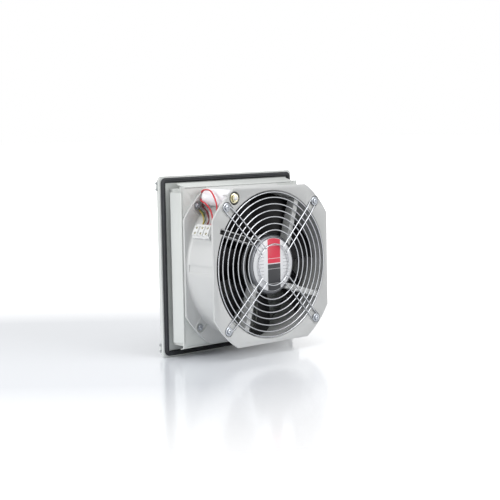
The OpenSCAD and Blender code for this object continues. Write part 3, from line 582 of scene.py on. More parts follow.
def placed(tree, group, coordinates, scale, depth):
    """A texture group in a material, with its own scale and depth."""
    texture = add(tree, "ShaderNodeGroup", node_tree=group)
    tree.links.new(coordinates, texture.inputs["Vector"])
    texture.inputs["Scale"].default_value = scale
    texture.inputs["Depth"].default_value = depth
    return texture.outputs


def grained(name, colour, grain, depth, rough, drift=0.06, vary=0.06, metallic=0.0, specular=0.5):
    """A surface with fine grain: moulded plastic, powder coat, rubber or plated metal."""
    material, tree, shader, coordinates = blank_material(name)
    texture = placed(tree, SURFACE_GRAIN, coordinates, grain, depth)
    cloud = spread(tree, texture["Cloud"], 0.0, 1.0)
    dressed(tree, shader, mixed(tree, cloud, scaled(colour, 1 - drift), colour),
            spread(tree, texture["Grain"], rough - vary, rough + vary), texture["Relief"])
    shader.inputs["Metallic"].default_value = metallic
    shader.inputs["Specular IOR Level"].default_value = specular
    return material


def turned_metal(name, colour, lines, depth, rough):
    """Bare metal with the fine lines of turning or polishing round the fan axis."""
    drift = 0.14
    vary = 0.08
    material, tree, shader, coordinates = blank_material(name)
    texture = placed(tree, TURNED_METAL, coordinates, lines, depth)
    streak = spread(tree, texture["Streak"], 0.0, 1.0)
    dressed(tree, shader, mixed(tree, streak, scaled(colour, 1 - drift), colour),
            spread(tree, texture["Streak"], rough - vary, rough + vary), texture["Relief"])
    shader.inputs["Metallic"].default_value = 1.0
    return material


def gasket_rubber():
    """Black foamed rubber with fine pores."""
    material, tree, shader, coordinates = blank_material("gasket_rubber")
    pores = add(tree, "ShaderNodeTexVoronoi", {"Vector": coordinates, "Scale": 1600.0}).outputs["Distance"]
    dust = noise(tree, coordinates, 60.0, 5.0)
    colour = mixed(tree, spread(tree, dust, 0.0, 1.0), srgb(20, 22, 26), srgb(36, 39, 44))
    dressed(tree, shader, colour, spread(tree, dust, 0.45, 0.6), link_bump(tree, pores, 0.0002, 0.7))
    return material


def filter_fleece():
    """White bonded fibres: crossed streaks of two directions and a slow change of density."""
    material, tree, shader, coordinates = blank_material("filter_fleece")
    fibres = []
    for turn in (0.5, 2.1):
        laid = add(tree, "ShaderNodeMapping", {
            "Vector": coordinates, "Rotation": (0.3, turn, 0.2), "Scale": (900.0, 900.0, 90.0)})
        fibres.append(add(tree, "ShaderNodeTexNoise", {
            "Vector": laid.outputs["Vector"], "Scale": 1.0, "Detail": 4.0, "Roughness": 0.7}).outputs["Fac"])
    both = add(tree, "ShaderNodeMath", {0: fibres[0], 1: fibres[1]}, operation="MAXIMUM").outputs["Value"]
    fuzz = both_masks(tree, both, noise(tree, coordinates, 90.0, 3.0))
    share = add(tree, "ShaderNodeMapRange", {"Value": fuzz, "From Min": 0.15, "From Max": 0.45})
    colour = mixed(tree, share.outputs["Result"], srgb(198, 200, 199), srgb(240, 241, 240))
    tree.links.new(colour, shader.inputs["Base Color"])
    tree.links.new(link_bump(tree, fuzz, 0.0012, 0.8), shader.inputs["Normal"])
    shader.inputs["Roughness"].default_value = 0.95
    shader.inputs["Sheen Weight"].default_value = 0.25
    return material


def inside(tree, value, low, high, soft):
    """A mask that is 1 where a value lies between two bounds."""
    rise = add(tree, "ShaderNodeMapRange", {
        "Value": value, "From Min": low - soft, "From Max": low + soft}).outputs["Result"]
    fall = add(tree, "ShaderNodeMapRange", {
        "Value": value, "From Min": high + soft, "From Max": high - soft}).outputs["Result"]
    return both_masks(tree, rise, fall)


def both_masks(tree, first, second):
    """A mask where two masks overlap."""
    return add(tree, "ShaderNodeMath", {0: first, 1: second}, operation="MULTIPLY").outputs["Value"]


def label_film():
    """White film: upright band, red over charcoal, plain rules, painted edge highlight; all in object
    coordinates.
    """
    material, tree, shader, coordinates = blank_material("label_film")
    radius, parts = axis_radius(tree, coordinates)
    x = parts.outputs["X"]
    z = parts.outputs["Z"]
    soft = PRINT_SOFT
    film = noise(tree, coordinates, 900.0, 2.0)
    colour = mixed(tree, film, srgb(243, 244, 246), srgb(249, 250, 252))
    band = both_masks(tree, inside(tree, x, *BAND_X, soft), inside(tree, radius, -1.0, PRINT_R, soft))
    halves = (
        (BAND_RED_Z, srgb(226, 48, 76), BAND_RED_RULES_Z, srgb(245, 225, 229)),
        (BAND_DARK_Z, srgb(45, 46, 50), BAND_DARK_RULES_Z, srgb(205, 206, 208)),
    )
    for bounds, paint, rules, pale in halves:
        half = both_masks(tree, band, inside(tree, z, *bounds, soft))
        colour = mixed(tree, half, colour, paint)
        for low in rules:
            rule = both_masks(tree, half, inside(tree, z, low, low + BAND_RULE_T, soft))
            colour = mixed(tree, rule, colour, pale)
    for middle in SIDE_RULES_X:
        field = inside(tree, x, middle - SIDE_RULE_HALF, middle + SIDE_RULE_HALF, soft)
        for row in range(SIDE_RULES):
            low = SIDE_RULE_Z + row * SIDE_RULE_PITCH
            rule = both_masks(tree, field, inside(tree, z, low, low + SIDE_RULE_T, soft))
            rule = both_masks(tree, rule, inside(tree, radius, -1.0, SIDE_RULES_R, soft))
            colour = mixed(tree, rule, colour, srgb(120, 124, 130))
    # A thin light grey ring all round the label's edge: a painted highlight of the edge, not print.
    rim = inside(tree, radius, PRINT_R, PRINT_R + EDGE_HIGHLIGHT_WIDTH, soft)
    colour = mixed(tree, rim, colour, srgb(206, 208, 212))
    dressed(tree, shader, colour, spread(tree, film, 0.3, 0.38), link_bump(tree, film, 0.00002, 0.4))
    return material


def fine_lines(tree, value, turns):
    """A mask of fine lines: a sine wave along a value, by its angle in radians to the metre."""
    angle = add(tree, "ShaderNodeMath", {0: value, 1: turns}, operation="MULTIPLY").outputs["Value"]
    wave = add(tree, "ShaderNodeMath", {0: angle}, operation="SINE").outputs["Value"]
    return add(tree, "ShaderNodeMapRange", {
        "Value": wave, "From Min": -1.0, "From Max": 1.0}).outputs["Result"]


def winding_copper():
    """Enamelled copper wire: strands that run round the coil, with painted shade in the gaps between them.
    """
    material, tree, shader, coordinates = blank_material("winding_copper")
    height = fine_lines(tree, axis_radius(tree, coordinates)[0], 9000.0)
    # The darker colour along the lines is painted shade between the strands.
    colour = mixed(tree, height, srgb(92, 44, 20), srgb(196, 112, 58))
    dressed(tree, shader, colour, spread(tree, height, 0.3, 0.42), link_bump(tree, height, 0.0003, 0.8))
    shader.inputs["Metallic"].default_value = 0.75
    return material


def core_steel():
    """Stacked steel sheets: thin dark lines square to the fan axis."""
    material, tree, shader, coordinates = blank_material("core_steel")
    parts = add(tree, "ShaderNodeSeparateXYZ", {"Vector": coordinates})
    height = fine_lines(tree, parts.outputs["Y"], 12000.0)
    oil = noise(tree, coordinates, 80.0, 4.0)
    colour = mixed(tree, height, srgb(70, 72, 76), srgb(132, 134, 138))
    dressed(tree, shader, colour, spread(tree, oil, 0.32, 0.5), link_bump(tree, height, 0.0001, 0.5))
    shader.inputs["Metallic"].default_value = 0.9
    return material


# Slot, colour, grain to the metre, depth of the grain, roughness, and what differs from plain plastic
GRAINED = (
    ("housing_plastic", (214, 217, 214), 1500, 0.00012, 0.42, {"drift": 0.03}),
    ("cover_plastic", (214, 217, 214), 1500, 0.00012, 0.44, {"drift": 0.03}),
    ("dark_plastic", (168, 172, 173), 1800, 0.0001, 0.45, {}),
    ("zinc_steel", (172, 176, 182), 420, 0.00004, 0.24, {"drift": 0.16, "vary": 0.08, "metallic": 1.0}),
    ("yellow_zinc", (222, 216, 184), 300, 0.00004, 0.26, {"drift": 0.14, "vary": 0.08, "metallic": 1.0}),
    ("fan_casting", (208, 209, 208), 900, 0.0002, 0.4, {"drift": 0.035}),
    ("blade_paint", (13, 13, 16), 1100, 0.0001, 0.45, {"drift": 0.2, "specular": 0.15}),
    ("guard_wire", (188, 190, 194), 700, 0.00002, 0.24, {"drift": 0.1, "vary": 0.05, "metallic": 1.0}),
    ("capacitor_plastic", (246, 246, 249), 1600, 0.00003, 0.22, {"drift": 0.03, "vary": 0.03}),
    ("black_plastic", (20, 20, 22), 1500, 0.0001, 0.42, {"drift": 0.1}),
    ("terminal_plastic", (228, 229, 228), 1600, 0.00006, 0.32, {"drift": 0.03}),
    ("lead_red", (206, 22, 44), 1200, 0.00003, 0.3, {"drift": 0.08, "vary": 0.04}),
    ("lead_dark_red", (110, 26, 34), 1200, 0.00003, 0.34, {"drift": 0.1, "vary": 0.04}),
    ("lead_yellow", (186, 168, 74), 1200, 0.00003, 0.34, {"drift": 0.1, "vary": 0.04}),
    ("lead_green", (84, 106, 62), 1200, 0.00003, 0.34, {"drift": 0.1, "vary": 0.04}),
)
# Slot, colour, lines to the metre, depth of the lines, roughness
TURNED = (
    ("motor_aluminium", (118, 120, 124), 900, 0.00004, 0.36),
    ("bearing_steel", (208, 210, 213), 1600, 0.00003, 0.2),
    ("rotor_steel", (150, 152, 156), 700, 0.00006, 0.36),
)


def all_materials():
    """The material of each slot, by the slot's name."""
    made = {
        "gasket_rubber": gasket_rubber(),
        "filter_fleece": filter_fleece(),
        "label_film": label_film(),
        "core_steel": core_steel(),
        "winding_copper": winding_copper(),
    }
    for slot, colour, grain, depth, rough, more in GRAINED:
        made[slot] = grained(slot, srgb(*colour), grain, depth, rough, **more)
    for slot, colour, lines, depth, rough in TURNED:
        made[slot] = turned_metal(slot, srgb(*colour), lines, depth, rough)
    return made


MATERIALS = all_materials()


# Cords

RED_UPPER_ROUTE = (
    (0.0972, 0.0392, 0.1278), (0.0976, 0.0382, 0.1292), (0.1004, 0.038, 0.1326), (0.102, 0.043, 0.1352),
    (0.1036, 0.054, 0.1372), (0.1078, 0.07, 0.1355), (0.1124, 0.084, 0.1265), (0.1164, 0.0945, 0.1145),
    (0.1176, 0.097, 0.1035), (0.1162, 0.093, 0.0925), (0.1154, 0.088, 0.084), (0.1176, 0.0855, 0.0762))
RED_LOWER_ROUTE = (
    (0.0966, 0.0392, 0.1234), (0.0986, 0.0382, 0.122), (0.1032, 0.0386, 0.119), (0.106, 0.044, 0.1168),
    (0.1072, 0.054, 0.1135), (0.1086, 0.065, 0.107), (0.1106, 0.074, 0.099), (0.1132, 0.0795, 0.0905),
    (0.1144, 0.0805, 0.0835), (0.1176, 0.0805, 0.0762))
WINDING_OUTER_ROUTE = (
    (0.096, 0.0392, 0.1146), (0.098, 0.0382, 0.1118), (0.101, 0.0386, 0.1082), (0.1024, 0.044, 0.1046),
    (0.1046, 0.053, 0.1006), (0.1074, 0.059, 0.096), (0.1106, 0.065, 0.091), (0.1126, 0.07, 0.0845),
    (0.1176, 0.0715, 0.0762))
WINDING_INNER_ROUTE = (
    (0.0926, 0.0392, 0.1124), (0.0946, 0.0382, 0.1096), (0.098, 0.0386, 0.1056), (0.0996, 0.045, 0.1024),
    (0.1018, 0.054, 0.0984), (0.105, 0.0605, 0.0936), (0.1086, 0.0655, 0.0884), (0.1118, 0.0676, 0.0828),
    (0.11615, 0.0676, 0.0756))
EARTH_OUTER_ROUTE = (
    (0.1047, 0.0352, 0.1005), (0.1032, 0.0368, 0.0976), (0.1036, 0.041, 0.095), (0.1066, 0.047, 0.0916),
    (0.1106, 0.053, 0.0868), (0.1136, 0.057, 0.082), (0.1176, 0.058, 0.0762))
EARTH_INNER_ROUTE = (
    (0.1025, 0.0352, 0.1019), (0.1008, 0.037, 0.099), (0.1004, 0.0415, 0.0958), (0.104, 0.048, 0.091),
    (0.1076, 0.054, 0.086), (0.1106, 0.056, 0.0816), (0.1161, 0.0556, 0.0754))
LEADS = (
    ("red_lead_upper", RED_UPPER_ROUTE, 0.00135, "lead_red"),
    ("red_lead_lower", RED_LOWER_ROUTE, 0.00135, "lead_red"),
    ("winding_lead_outer", WINDING_OUTER_ROUTE, 0.0011, "lead_dark_red"),
    ("winding_lead_inner", WINDING_INNER_ROUTE, 0.0011, "lead_dark_red"),
    ("earth_lead_outer", EARTH_OUTER_ROUTE, 0.00115, "lead_yellow"),
    ("earth_lead_inner", EARTH_INNER_ROUTE, 0.00115, "lead_green"),
)
CABLE_START = (0.03676, 0.104, 0.04121)
CABLE_CORNER = (0.11756, 0.104, 0.06569)
CABLE_END_Y = 0.091
CABLE_BEND_R = 0.011
CABLE_R = 0.00275


def along(path):
    """The length of a path."""
    return float(np.linalg.norm(np.diff(path, axis=0), axis=1).sum())


def leads():
    """The single leads between the capacitor, the earth tag and the terminal block."""
    for name, route, radius, slot in LEADS:
        path = smooth_route(route, steps=90)
        wire = round_bar(path, radius, sides=16, across=(1, 0, 0))
        piece = piece_from(name + "_wire", [wire], slot, "root", name)


def motor_cable():
    """The cable: straight in its channel, a quarter turn at the corner, and down through the floor."""
    start = np.array(CABLE_START)
    corner = np.array(CABLE_CORNER)
    run = (corner - start) / np.linalg.norm(corner - start)
    angle = np.radians(np.linspace(0, 90, 25))[:, None]
    drop = np.array([0, CABLE_BEND_R, 0])
    turn = corner - run * CABLE_BEND_R * (1 - np.sin(angle)) - drop * (1 - np.cos(angle))
    line = np.linspace(start, turn[0], 40)[:-1]
    end = np.array([[corner[0], CABLE_END_Y, corner[2]]])
    path = np.concatenate([line, turn, end])
    sheath = round_bar(path, CABLE_R, sides=24, across=(run[2], 0, -run[0]))
    piece = piece_from("motor_cable_sheath", [sheath], "black_plastic", "root", "motor_cable")


# The finger guard

def ring_y(radius):
    """Place along Y of a ring's wire, which stands out more towards the hub."""
    return OUTER_RING_Y + GUARD_RISE * (RING_RADII[-1] - radius) / (RING_RADII[-1] - RING_RADII[0])


def wire_ring(radius):
    """A ring of round wire: a small circle carried round the fan axis."""
    circle = arc((radius, ring_y(radius)), WIRE_R, 0, 330, steps=11)
    return turned(circle, steps=168, wrap=True)


def leg_route():
    """Out over the rings on one side, round the screw in a half circle, and back on the other side."""
    inner = math.sqrt(RING_RADII[0] ** 2 - LEG_HALF_GAP ** 2) - WIRE_R
    outer = math.sqrt(RING_RADII[-1] ** 2 - LEG_HALF_GAP ** 2) + WIRE_R
    top = ring_y(RING_RADII[-1]) + 2 * WIRE_R + LEG_LIFT
    low = POCKET_FLOOR_Y + WIRE_R
    loop_at = SCREW_AT * math.sqrt(2)
    loop = u_turn(loop_at, LEG_HALF_GAP, low, steps=25)
    along_rings = np.linspace([inner, top + GUARD_RISE], [outer - LEG_TAPER, top + LEG_LOW], 8)
    flat_at = loop_at - LOOP_FLAT
    slope = (low - top) / (flat_at - outer)
    turn_over = np.array([
        [outer + LEG_BEND, top + LEG_BEND * slope],
        [flat_at - LEG_BEND, low - LEG_BEND * slope],
        [flat_at + LOOP_EASE, low + LEG_LIFT],
    ])
    line = np.concatenate([along_rings, turn_over])
    there = np.stack([line[:, 0], line[:, 1], np.full(len(line), -LEG_HALF_GAP)], -1)
    back = there[::-1] * (1, 1, -1)
    return np.concatenate([there, loop, back])


def finger_guard():
    """Eight rings of bright wire and four looped legs that are welded to them."""
    rings = [wire_ring(radius) for radius in RING_RADII]
    leg = tube(leg_route(), WIRE_R, sides=12, across=(0, 1, 0))
    legs = repeated(leg, 4, start=45)
    piece_from("guard_wires", rings + legs, "guard_wire", "root", "finger_guard")


# Screws and washers

def screw(x, z, seat, length):
    """A pan-head screw: a domed head, its height less a cross-shaped recess, on a plain shank."""
    angle = np.linspace(0, 2 * np.pi, 48, endpoint=False)
    share = np.linspace(1, 0.02, 14)[:, None]
    across = HEAD_R * share * np.cos(angle)
    up = HEAD_R * share * np.sin(angle)
    dome = HEAD_H * (HEAD_RIM + (1 - HEAD_RIM) * np.sqrt(1 - HEAD_ROUND * share ** 2)) + 0 * angle
    turn = math.radians(RECESS_TURN)
    a = across * math.cos(turn) + up * math.sin(turn)
    b = up * math.cos(turn) - across * math.sin(turn)
    arms = [np.clip((RECESS_HALF + RECESS_WALL / 2 - np.abs(beside)) / RECESS_WALL, 0, 1)
            * np.clip((RECESS_REACH - np.abs(ahead)) / RECESS_END, 0, 1)
            for ahead, beside in ((a, b), (b, a))]
    top = np.stack([x + across, seat + dome - RECESS_DEPTH * np.maximum(*arms), z + up], -1)
    radius, y = np.array([
        (SHANK_TIP, seat - length - SHANK_TIP), (SCREW_R, seat - length), (SCREW_R, seat),
        (HEAD_R * HEAD_UNDER, seat), (HEAD_R, seat + HEAD_CHAMFER)]).T[:, :, None]
    rim = np.stack([x + radius * np.cos(angle), y + 0 * angle, z + radius * np.sin(angle)], -1)
    return skin(np.concatenate([rim, top]), wrap_columns=True, cap_ends=True)


def washer(x, z, y0, thick, radius, bore):
    """A flat ring with slightly rounded outer edges."""
    soft = thick * WASHER_SOFT
    profile = [(bore, y0), (radius - soft, y0), (radius, y0 + soft), (radius, y0 + thick - soft),
               (radius - soft, y0 + thick), (bore, y0 + thick)]
    return turned(profile, x, z, steps=64, wrap=True)


def fan_fasteners():
    """The screws and washers on both plates of the fan."""
    corners = [(sx * SCREW_AT, sz * SCREW_AT) for sx in (-1, 1) for sz in (-1, 1)]
    outer_seat = POCKET_FLOOR_Y + 2 * WIRE_R
    inner_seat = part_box("fan_washers")[0][1]
    inner_length = inner_seat + WASHER_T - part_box("fan_screws")[0][1] - SHANK_SHORT
    sets = (
        ("guard", outer_seat, GUARD_WASHER_R, GUARD_SCREW_LENGTH, "guard"),
        ("inner", inner_seat, INNER_WASHER_R, inner_length, "fan"),
    )
    for name, seat, radius, length, nodes in sets:
        washers = [washer(x, z, seat, WASHER_T, radius, SCREW_R) for x, z in corners]
        screws = [screw(x, z, seat + WASHER_T, length) for x, z in corners]
        piece_from(name + "_washer_set", washers, "zinc_steel", "root", nodes + "_washers")
        piece_from(name + "_screw_set", screws, "zinc_steel", "root", nodes + "_screws")


def pad_ridges(top, start):
    """A low half-round ridge round each screw of a plate: a U that opens towards the fan axis."""
    loop = u_turn(SCREW_AT * math.sqrt(2), PAD_HALF, top, steps=19)
    route = np.concatenate([[(start, top, -PAD_HALF)], loop, [(start, top, PAD_HALF)]])
    ridge = tube(route, RIDGE_R, sides=16, across=(0, 1, 0))
    return repeated(ridge, 4, start=45)


# The motor and the impeller

def motor_cap():
    """The cast end cap: a turned shell with a round edge, and the label on it."""
    low = FAN_OUT_Y - CAP_EDGE_R - CAP_WALL
    back = FAN_OUT_Y - CAP_D
    roof = FAN_OUT_Y - CAP_WALL
    edge = arc((CAP_R - CAP_EDGE_R, FAN_OUT_Y - CAP_EDGE_R), CAP_EDGE_R, 90, 0, steps=10)
    tube_in_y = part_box("motor_cap")[0][1]
    profile = np.concatenate([
        [(AXIS_R, FAN_OUT_Y), (CAP_FLAT_R, FAN_OUT_Y)], edge,
        [(CAP_R, back + CAP_CHAMFER), (CAP_R - CAP_CHAMFER, back), (CAP_IN_R, back), (CAP_IN_R, low),
         (CAP_TUBE_R, low), (CAP_TUBE_R, tube_in_y), (CAP_TUBE_IN_R, tube_in_y), (CAP_TUBE_IN_R, roof),
         (AXIS_R, roof)]])
    piece_from("motor_end_cap", [turned(profile, steps=144)], "motor_aluminium", "root", "motor_cap")
    top = FAN_OUT_Y + LABEL_T
    soft = LABEL_T * LABEL_SOFT
    disc = [(AXIS_R, FAN_OUT_Y), (LABEL_R, FAN_OUT_Y), (LABEL_R, top - soft), (LABEL_R - soft, top),
            (AXIS_R, top)]
    piece_from("motor_label", [turned(disc, steps=144)], "label_film", "root", "rating_label")


def blade_point(radius, place, side):
    """A blade's point: a pitched chord with a bow, turned round the axis as it goes out to the tip."""
    share = (radius - ROTOR_R) / (BLADE_TIP_R - ROTOR_R)
    pitch = np.radians(BLADE_PITCH_ROOT - BLADE_PITCH_DROP * share)
    chord = (ROTOR_OUT_Y - ROTOR_IN_Y) * (BLADE_CHORD_ROOT + BLADE_CHORD_GAIN * share)
    thick = BLADE_THICK / 2 * (1 - (2 * np.abs(place)) ** 6) ** 0.5
    bow = chord * BLADE_BOW * (0.25 - place ** 2) + side * thick
    run = place * chord * np.cos(pitch) - bow * np.sin(pitch)
    y = (ROTOR_IN_Y + ROTOR_OUT_Y) / 2 + place * chord * np.sin(pitch) + bow * np.cos(pitch)
    angle = run / radius + np.radians(BLADE_SWEEP) * share ** 2
    return np.stack([radius * np.cos(angle), y, radius * np.sin(angle)], -1)


def blade():
    """One blade: its section from edge to edge and back, carried from the root to the tip."""
    place = 0.5 * np.sin(np.linspace(-np.pi / 2, np.pi / 2, 17))
    around = np.concatenate([place, place[-2:0:-1]])[None, :]
    side = np.concatenate([np.ones(len(place)), -np.ones(len(place) - 2)])[None, :]
    radius = np.linspace(BLADE_ROOT_R, BLADE_TIP_R, 19)[:, None]
    return skin(blade_point(radius + 0 * around, around + 0 * radius, side + 0 * radius),
                wrap_columns=True, cap_ends=True)


def impeller():
    """Seven blades on a sleeve that sits on the motor's rotor."""
    low = ROTOR_IN_Y + ROTOR_WALL
    inner = ROTOR_R + SLEEVE_FIT
    soft = SLEEVE_SOFT
    sleeve = [(inner, low), (SLEEVE_R - soft, low), (SLEEVE_R, low + soft), (SLEEVE_R, ROTOR_OUT_Y - soft),
              (SLEEVE_R - soft, ROTOR_OUT_Y), (inner, ROTOR_OUT_Y)]
    piece_from("impeller_blades", [turned(sleeve, steps=120, wrap=True)] + repeated(blade(), BLADES),
               "blade_paint", "rotor", "impeller")


def rotor_cup():
    """The rotor's steel cup, pressed with a round edge."""
    round_in = arc((ROTOR_R - ROTOR_EDGE_R, ROTOR_IN_Y + ROTOR_EDGE_R), ROTOR_EDGE_R, 270, 360, steps=8)
    profile = np.concatenate([
        [(SHAFT_R, ROTOR_IN_Y)], round_in,
        [(ROTOR_R, ROTOR_OUT_Y), (ROTOR_R - ROTOR_WALL, ROTOR_OUT_Y),
         (ROTOR_R - ROTOR_WALL, ROTOR_IN_Y + ROTOR_WALL), (SHAFT_R, ROTOR_IN_Y + ROTOR_WALL)]])
    piece_from("rotor_shell", [turned(profile, steps=120, wrap=True)], "rotor_steel", "rotor", "rotor_cup")


def stator_windings():
    """Both coil ends: an oval ring that swells with the root of |sin 6a| round the axis, once a coil."""
    low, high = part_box("stator_windings")
    centre = (COIL_IN_R + high[0] - COIL_FIT) / 2
    half = (high[0] - COIL_IN_R) / 2 - COIL_CLEAR
    angle = np.linspace(0, 2 * np.pi, 192, endpoint=False)[None, :]
    turn = np.linspace(0, 2 * np.pi, 24, endpoint=False)[:, None]
    lobe = 1 - COIL_LOBE + COIL_LOBE * np.abs(np.sin(6 * angle)) ** 0.5
    rings = []
    for middle in (low[1] + COIL_THICK / 2, high[1] - COIL_THICK / 2):
        radius = centre + half * lobe * np.cos(turn)
        y = middle + COIL_THICK / 2 * lobe * np.sin(turn) + 0 * radius
        points = np.stack([radius * np.cos(angle), y, radius * np.sin(angle)], -1)
        rings.append(skin(points, wrap_rows=True, wrap_columns=True))
    piece_from("coil_ends", rings, "winding_copper", "root", "stator_windings")


# The gasket and the filter

def square_ring(profile, half, corner_r):
    """A profile of outward place and Y, carried round a square with round corners."""
    quarter = np.radians(np.linspace(0, 90, 9))
    angle = np.concatenate([quarter + turn * np.pi / 2 for turn in range(4)])
    side_x = np.repeat([1, -1, -1, 1], len(quarter)) * (half - corner_r)
    side_z = np.repeat([1, 1, -1, -1], len(quarter)) * (half - corner_r)
    out, y = np.asarray(profile, float).T[:, :, None]
    reach = corner_r + out - half
    points = np.stack([side_x + reach * np.cos(angle), y + 0 * angle, side_z + reach * np.sin(angle)], -1)
    return skin(points, wrap_rows=True, wrap_columns=True)


def gasket():
    """The seal: a flat strip with two rounded lips that form its bead."""
    soft = GASKET_SOFT
    outer_lip = arc((BEAD_OUT - BEAD_LIP_R, -BEAD_LIP_R), BEAD_LIP_R, 0, 150, steps=8)
    inner_lip = arc((BEAD_IN + BEAD_LIP_R, -BEAD_LIP_R), BEAD_LIP_R, 30, 180, steps=8)
    profile = np.concatenate([
        [(GASKET_IN, GASKET_BACK_Y), (GASKET_OUT - soft, GASKET_BACK_Y), (GASKET_OUT, GASKET_BACK_Y + soft),
         (GASKET_OUT, GASKET_STEP_Y - soft), (GASKET_OUT - soft, GASKET_STEP_Y), (BEAD_OUT, GASKET_STEP_Y)],
        outer_lip, [((BEAD_OUT + BEAD_IN) / 2, BEAD_DIP_Y)], inner_lip,
        [(BEAD_IN, GASKET_STEP_Y), (GASKET_IN + soft, GASKET_STEP_Y), (GASKET_IN, GASKET_STEP_Y - soft)]])
    seal = square_ring(profile, GASKET_OUT, GASKET_CORNER_R)
    piece_from("gasket_profile", [seal], "gasket_rubber", "root", "gasket")


def filter_mat():
    """The fleece pad: two faces as high as the root of 1 - x^10 times 1 - z^10, with slow sine waves."""
    count = 72
    place = np.linspace(-1, 1, count)
    x = place[:, None] + 0 * place[None]
    z = place[None] + 0 * place[:, None]
    crown = np.clip((1 - np.abs(x) ** MAT_SQUARE) * (1 - np.abs(z) ** MAT_SQUARE), 0, 1) ** 0.5
    wave = 0.5 * np.sin(7 * x + 1) * np.sin(6 * z + 2) + 0.3 * np.sin(17 * x + 3 * z)
    wave += 0.2 * np.sin(15 * z - 5 * x)
    middle = (MAT_FRONT_Y + MAT_BACK_Y) / 2
    half = (MAT_BACK_Y - MAT_FRONT_Y) / 2
    height = half * crown * (MAT_FILL + MAT_WAVE * wave)
    front = np.stack([MAT_HALF * x, middle - height, MAT_HALF * z], -1)
    back = np.stack([MAT_HALF * x, middle + height, MAT_HALF * z], -1)
    pad = piece_from("filter_pad", [skin(front), skin(back)], "filter_fleece", "root", "filter_mat")


# The capacitor

def capacitor():
    """The round body with rolled rims, and the threaded stud at its far end."""
    rim = CAPACITOR_RIM_R
    body_r = CAPACITOR_R - CAPACITOR_STEP
    foot_y = CAPACITOR_IN_Y + CAPACITOR_FOOT_Y
    body = np.concatenate([
        [(AXIS_R, foot_y), (CAPACITOR_FOOT_R, foot_y), (CAPACITOR_SEAM_R, CAPACITOR_IN_Y)],
        arc((CAPACITOR_R - rim, CAPACITOR_IN_Y + rim), rim, 270, 360, steps=6),
        [(CAPACITOR_R, CAPACITOR_IN_Y + CAPACITOR_NECK_Y), (body_r, CAPACITOR_IN_Y + CAPACITOR_BODY_Y),
         (body_r, CAPACITOR_OUT_Y - CAPACITOR_END_Y)],
        arc((body_r - rim, CAPACITOR_OUT_Y - rim), rim, 0, 90, steps=6),
        [(STUD_R, CAPACITOR_OUT_Y)]])
    count = int((STUD_END_Y - CAPACITOR_OUT_Y) / STUD_PITCH)
    thread = [(STUD_R - THREAD_DEPTH * (i % 2), CAPACITOR_OUT_Y + (i + 0.5) * STUD_PITCH / 2)
              for i in range(2 * count)]
    profile = np.concatenate([body, thread, [(STUD_R - THREAD_CHAMFER, STUD_END_Y), (AXIS_R, STUD_END_Y)]])
    piece_from("capacitor_body", [turned(profile, CAPACITOR_X, CAPACITOR_Z, steps=72)], "capacitor_plastic",
               "root", "capacitor")


# Pieces that keep their solid's shape with rounded edges

ROUNDED = (
    ("base_housing", "housing_shell", 0.0005, "housing_plastic", "root"),
    ("retaining_flap_left", "flap_left_plate", 0.0004, "housing_plastic", "flap_left"),
    ("retaining_flap_right", "flap_right_plate", 0.0004, "housing_plastic", "flap_right"),
    ("retaining_flap_top", "flap_top_plate", 0.0004, "housing_plastic", "flap_top"),
    ("retaining_flap_bottom", "flap_bottom_plate", 0.0004, "housing_plastic", "flap_bottom"),
    ("cover_frame", "cover_shell", 0.0005, "cover_plastic", "cover"),
    ("cover_louvres", "cover_slats", 0.0004, "cover_plastic", "cover"),
    ("hinge_ears", "hinge_ear_set", 0.0003, "dark_plastic", "root"),
    ("filter_grid", "grid_frame", 0.0004, "housing_plastic", "root"),
    ("fan_plate_inner", "inner_plate", 0.0006, "fan_casting", "root"),
    ("fan_plate_outer", "outer_plate", 0.0007, "fan_casting", "root"),
    ("fan_duct", "duct_wall", 0.0004, "fan_casting", "root"),
    ("fan_struts", "hub_and_struts", 0.0009, "fan_casting", "root"),
    ("capacitor_bracket", "bracket_strip", 0.0003, "fan_casting", "root"),
    ("capacitor_seat", "seat_ring", 0.0003, "black_plastic", "root"),
    ("capacitor_washer", "stud_washer", 0.0002, "yellow_zinc", "root"),
    ("capacitor_nut", "stud_nut", 0.0004, "yellow_zinc", "root"),
    ("terminal_block", "terminal_body", 0.0004, "terminal_plastic", "root"),
    ("earth_tag", "earth_ring_tag", 0.0002, "yellow_zinc", "root"),
)


def rounded_pieces():
    """Every piece that stays a CAD solid in shape, with its edges softened."""
    ridges = {
        "fan_plate_inner": pad_ridges(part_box("fan_plate_inner")[1][1], INNER_RIDGE_START),
        "fan_plate_outer": pad_ridges(FAN_OUT_Y, OUTER_RIDGE_START),
    }
    for node, name, width, slot, body in ROUNDED:
        rounded_copy(node, name, width, slot, body, ridges.get(node, ()))


def dress_solids():
    """Gives each CAD node that still shows the material of its slot."""
    for part in frame["record"]["subparts"]:
        node = frame["nodes"][part["node"]]
        if node.hide_render:
            continue
        for socket in node.material_slots:
            socket.material = MATERIALS[part["material_slot"]]


# The stage and the light

def seen_directly(tree):
    """1 for rays from the camera, also by mirroring or through glass, and 0 for light on the object."""
    rays = add(tree, "ShaderNodeLightPath")
    seen = add(tree, "ShaderNodeMath", {0: rays.outputs["Is Camera Ray"], 1: rays.outputs["Is Glossy Ray"]},
               operation="MAXIMUM")
    seen = add(tree, "ShaderNodeMath", {0: seen.outputs["Value"], 1: rays.outputs["Is Transmission Ray"]},
               operation="MAXIMUM")
    return seen.outputs["Value"]


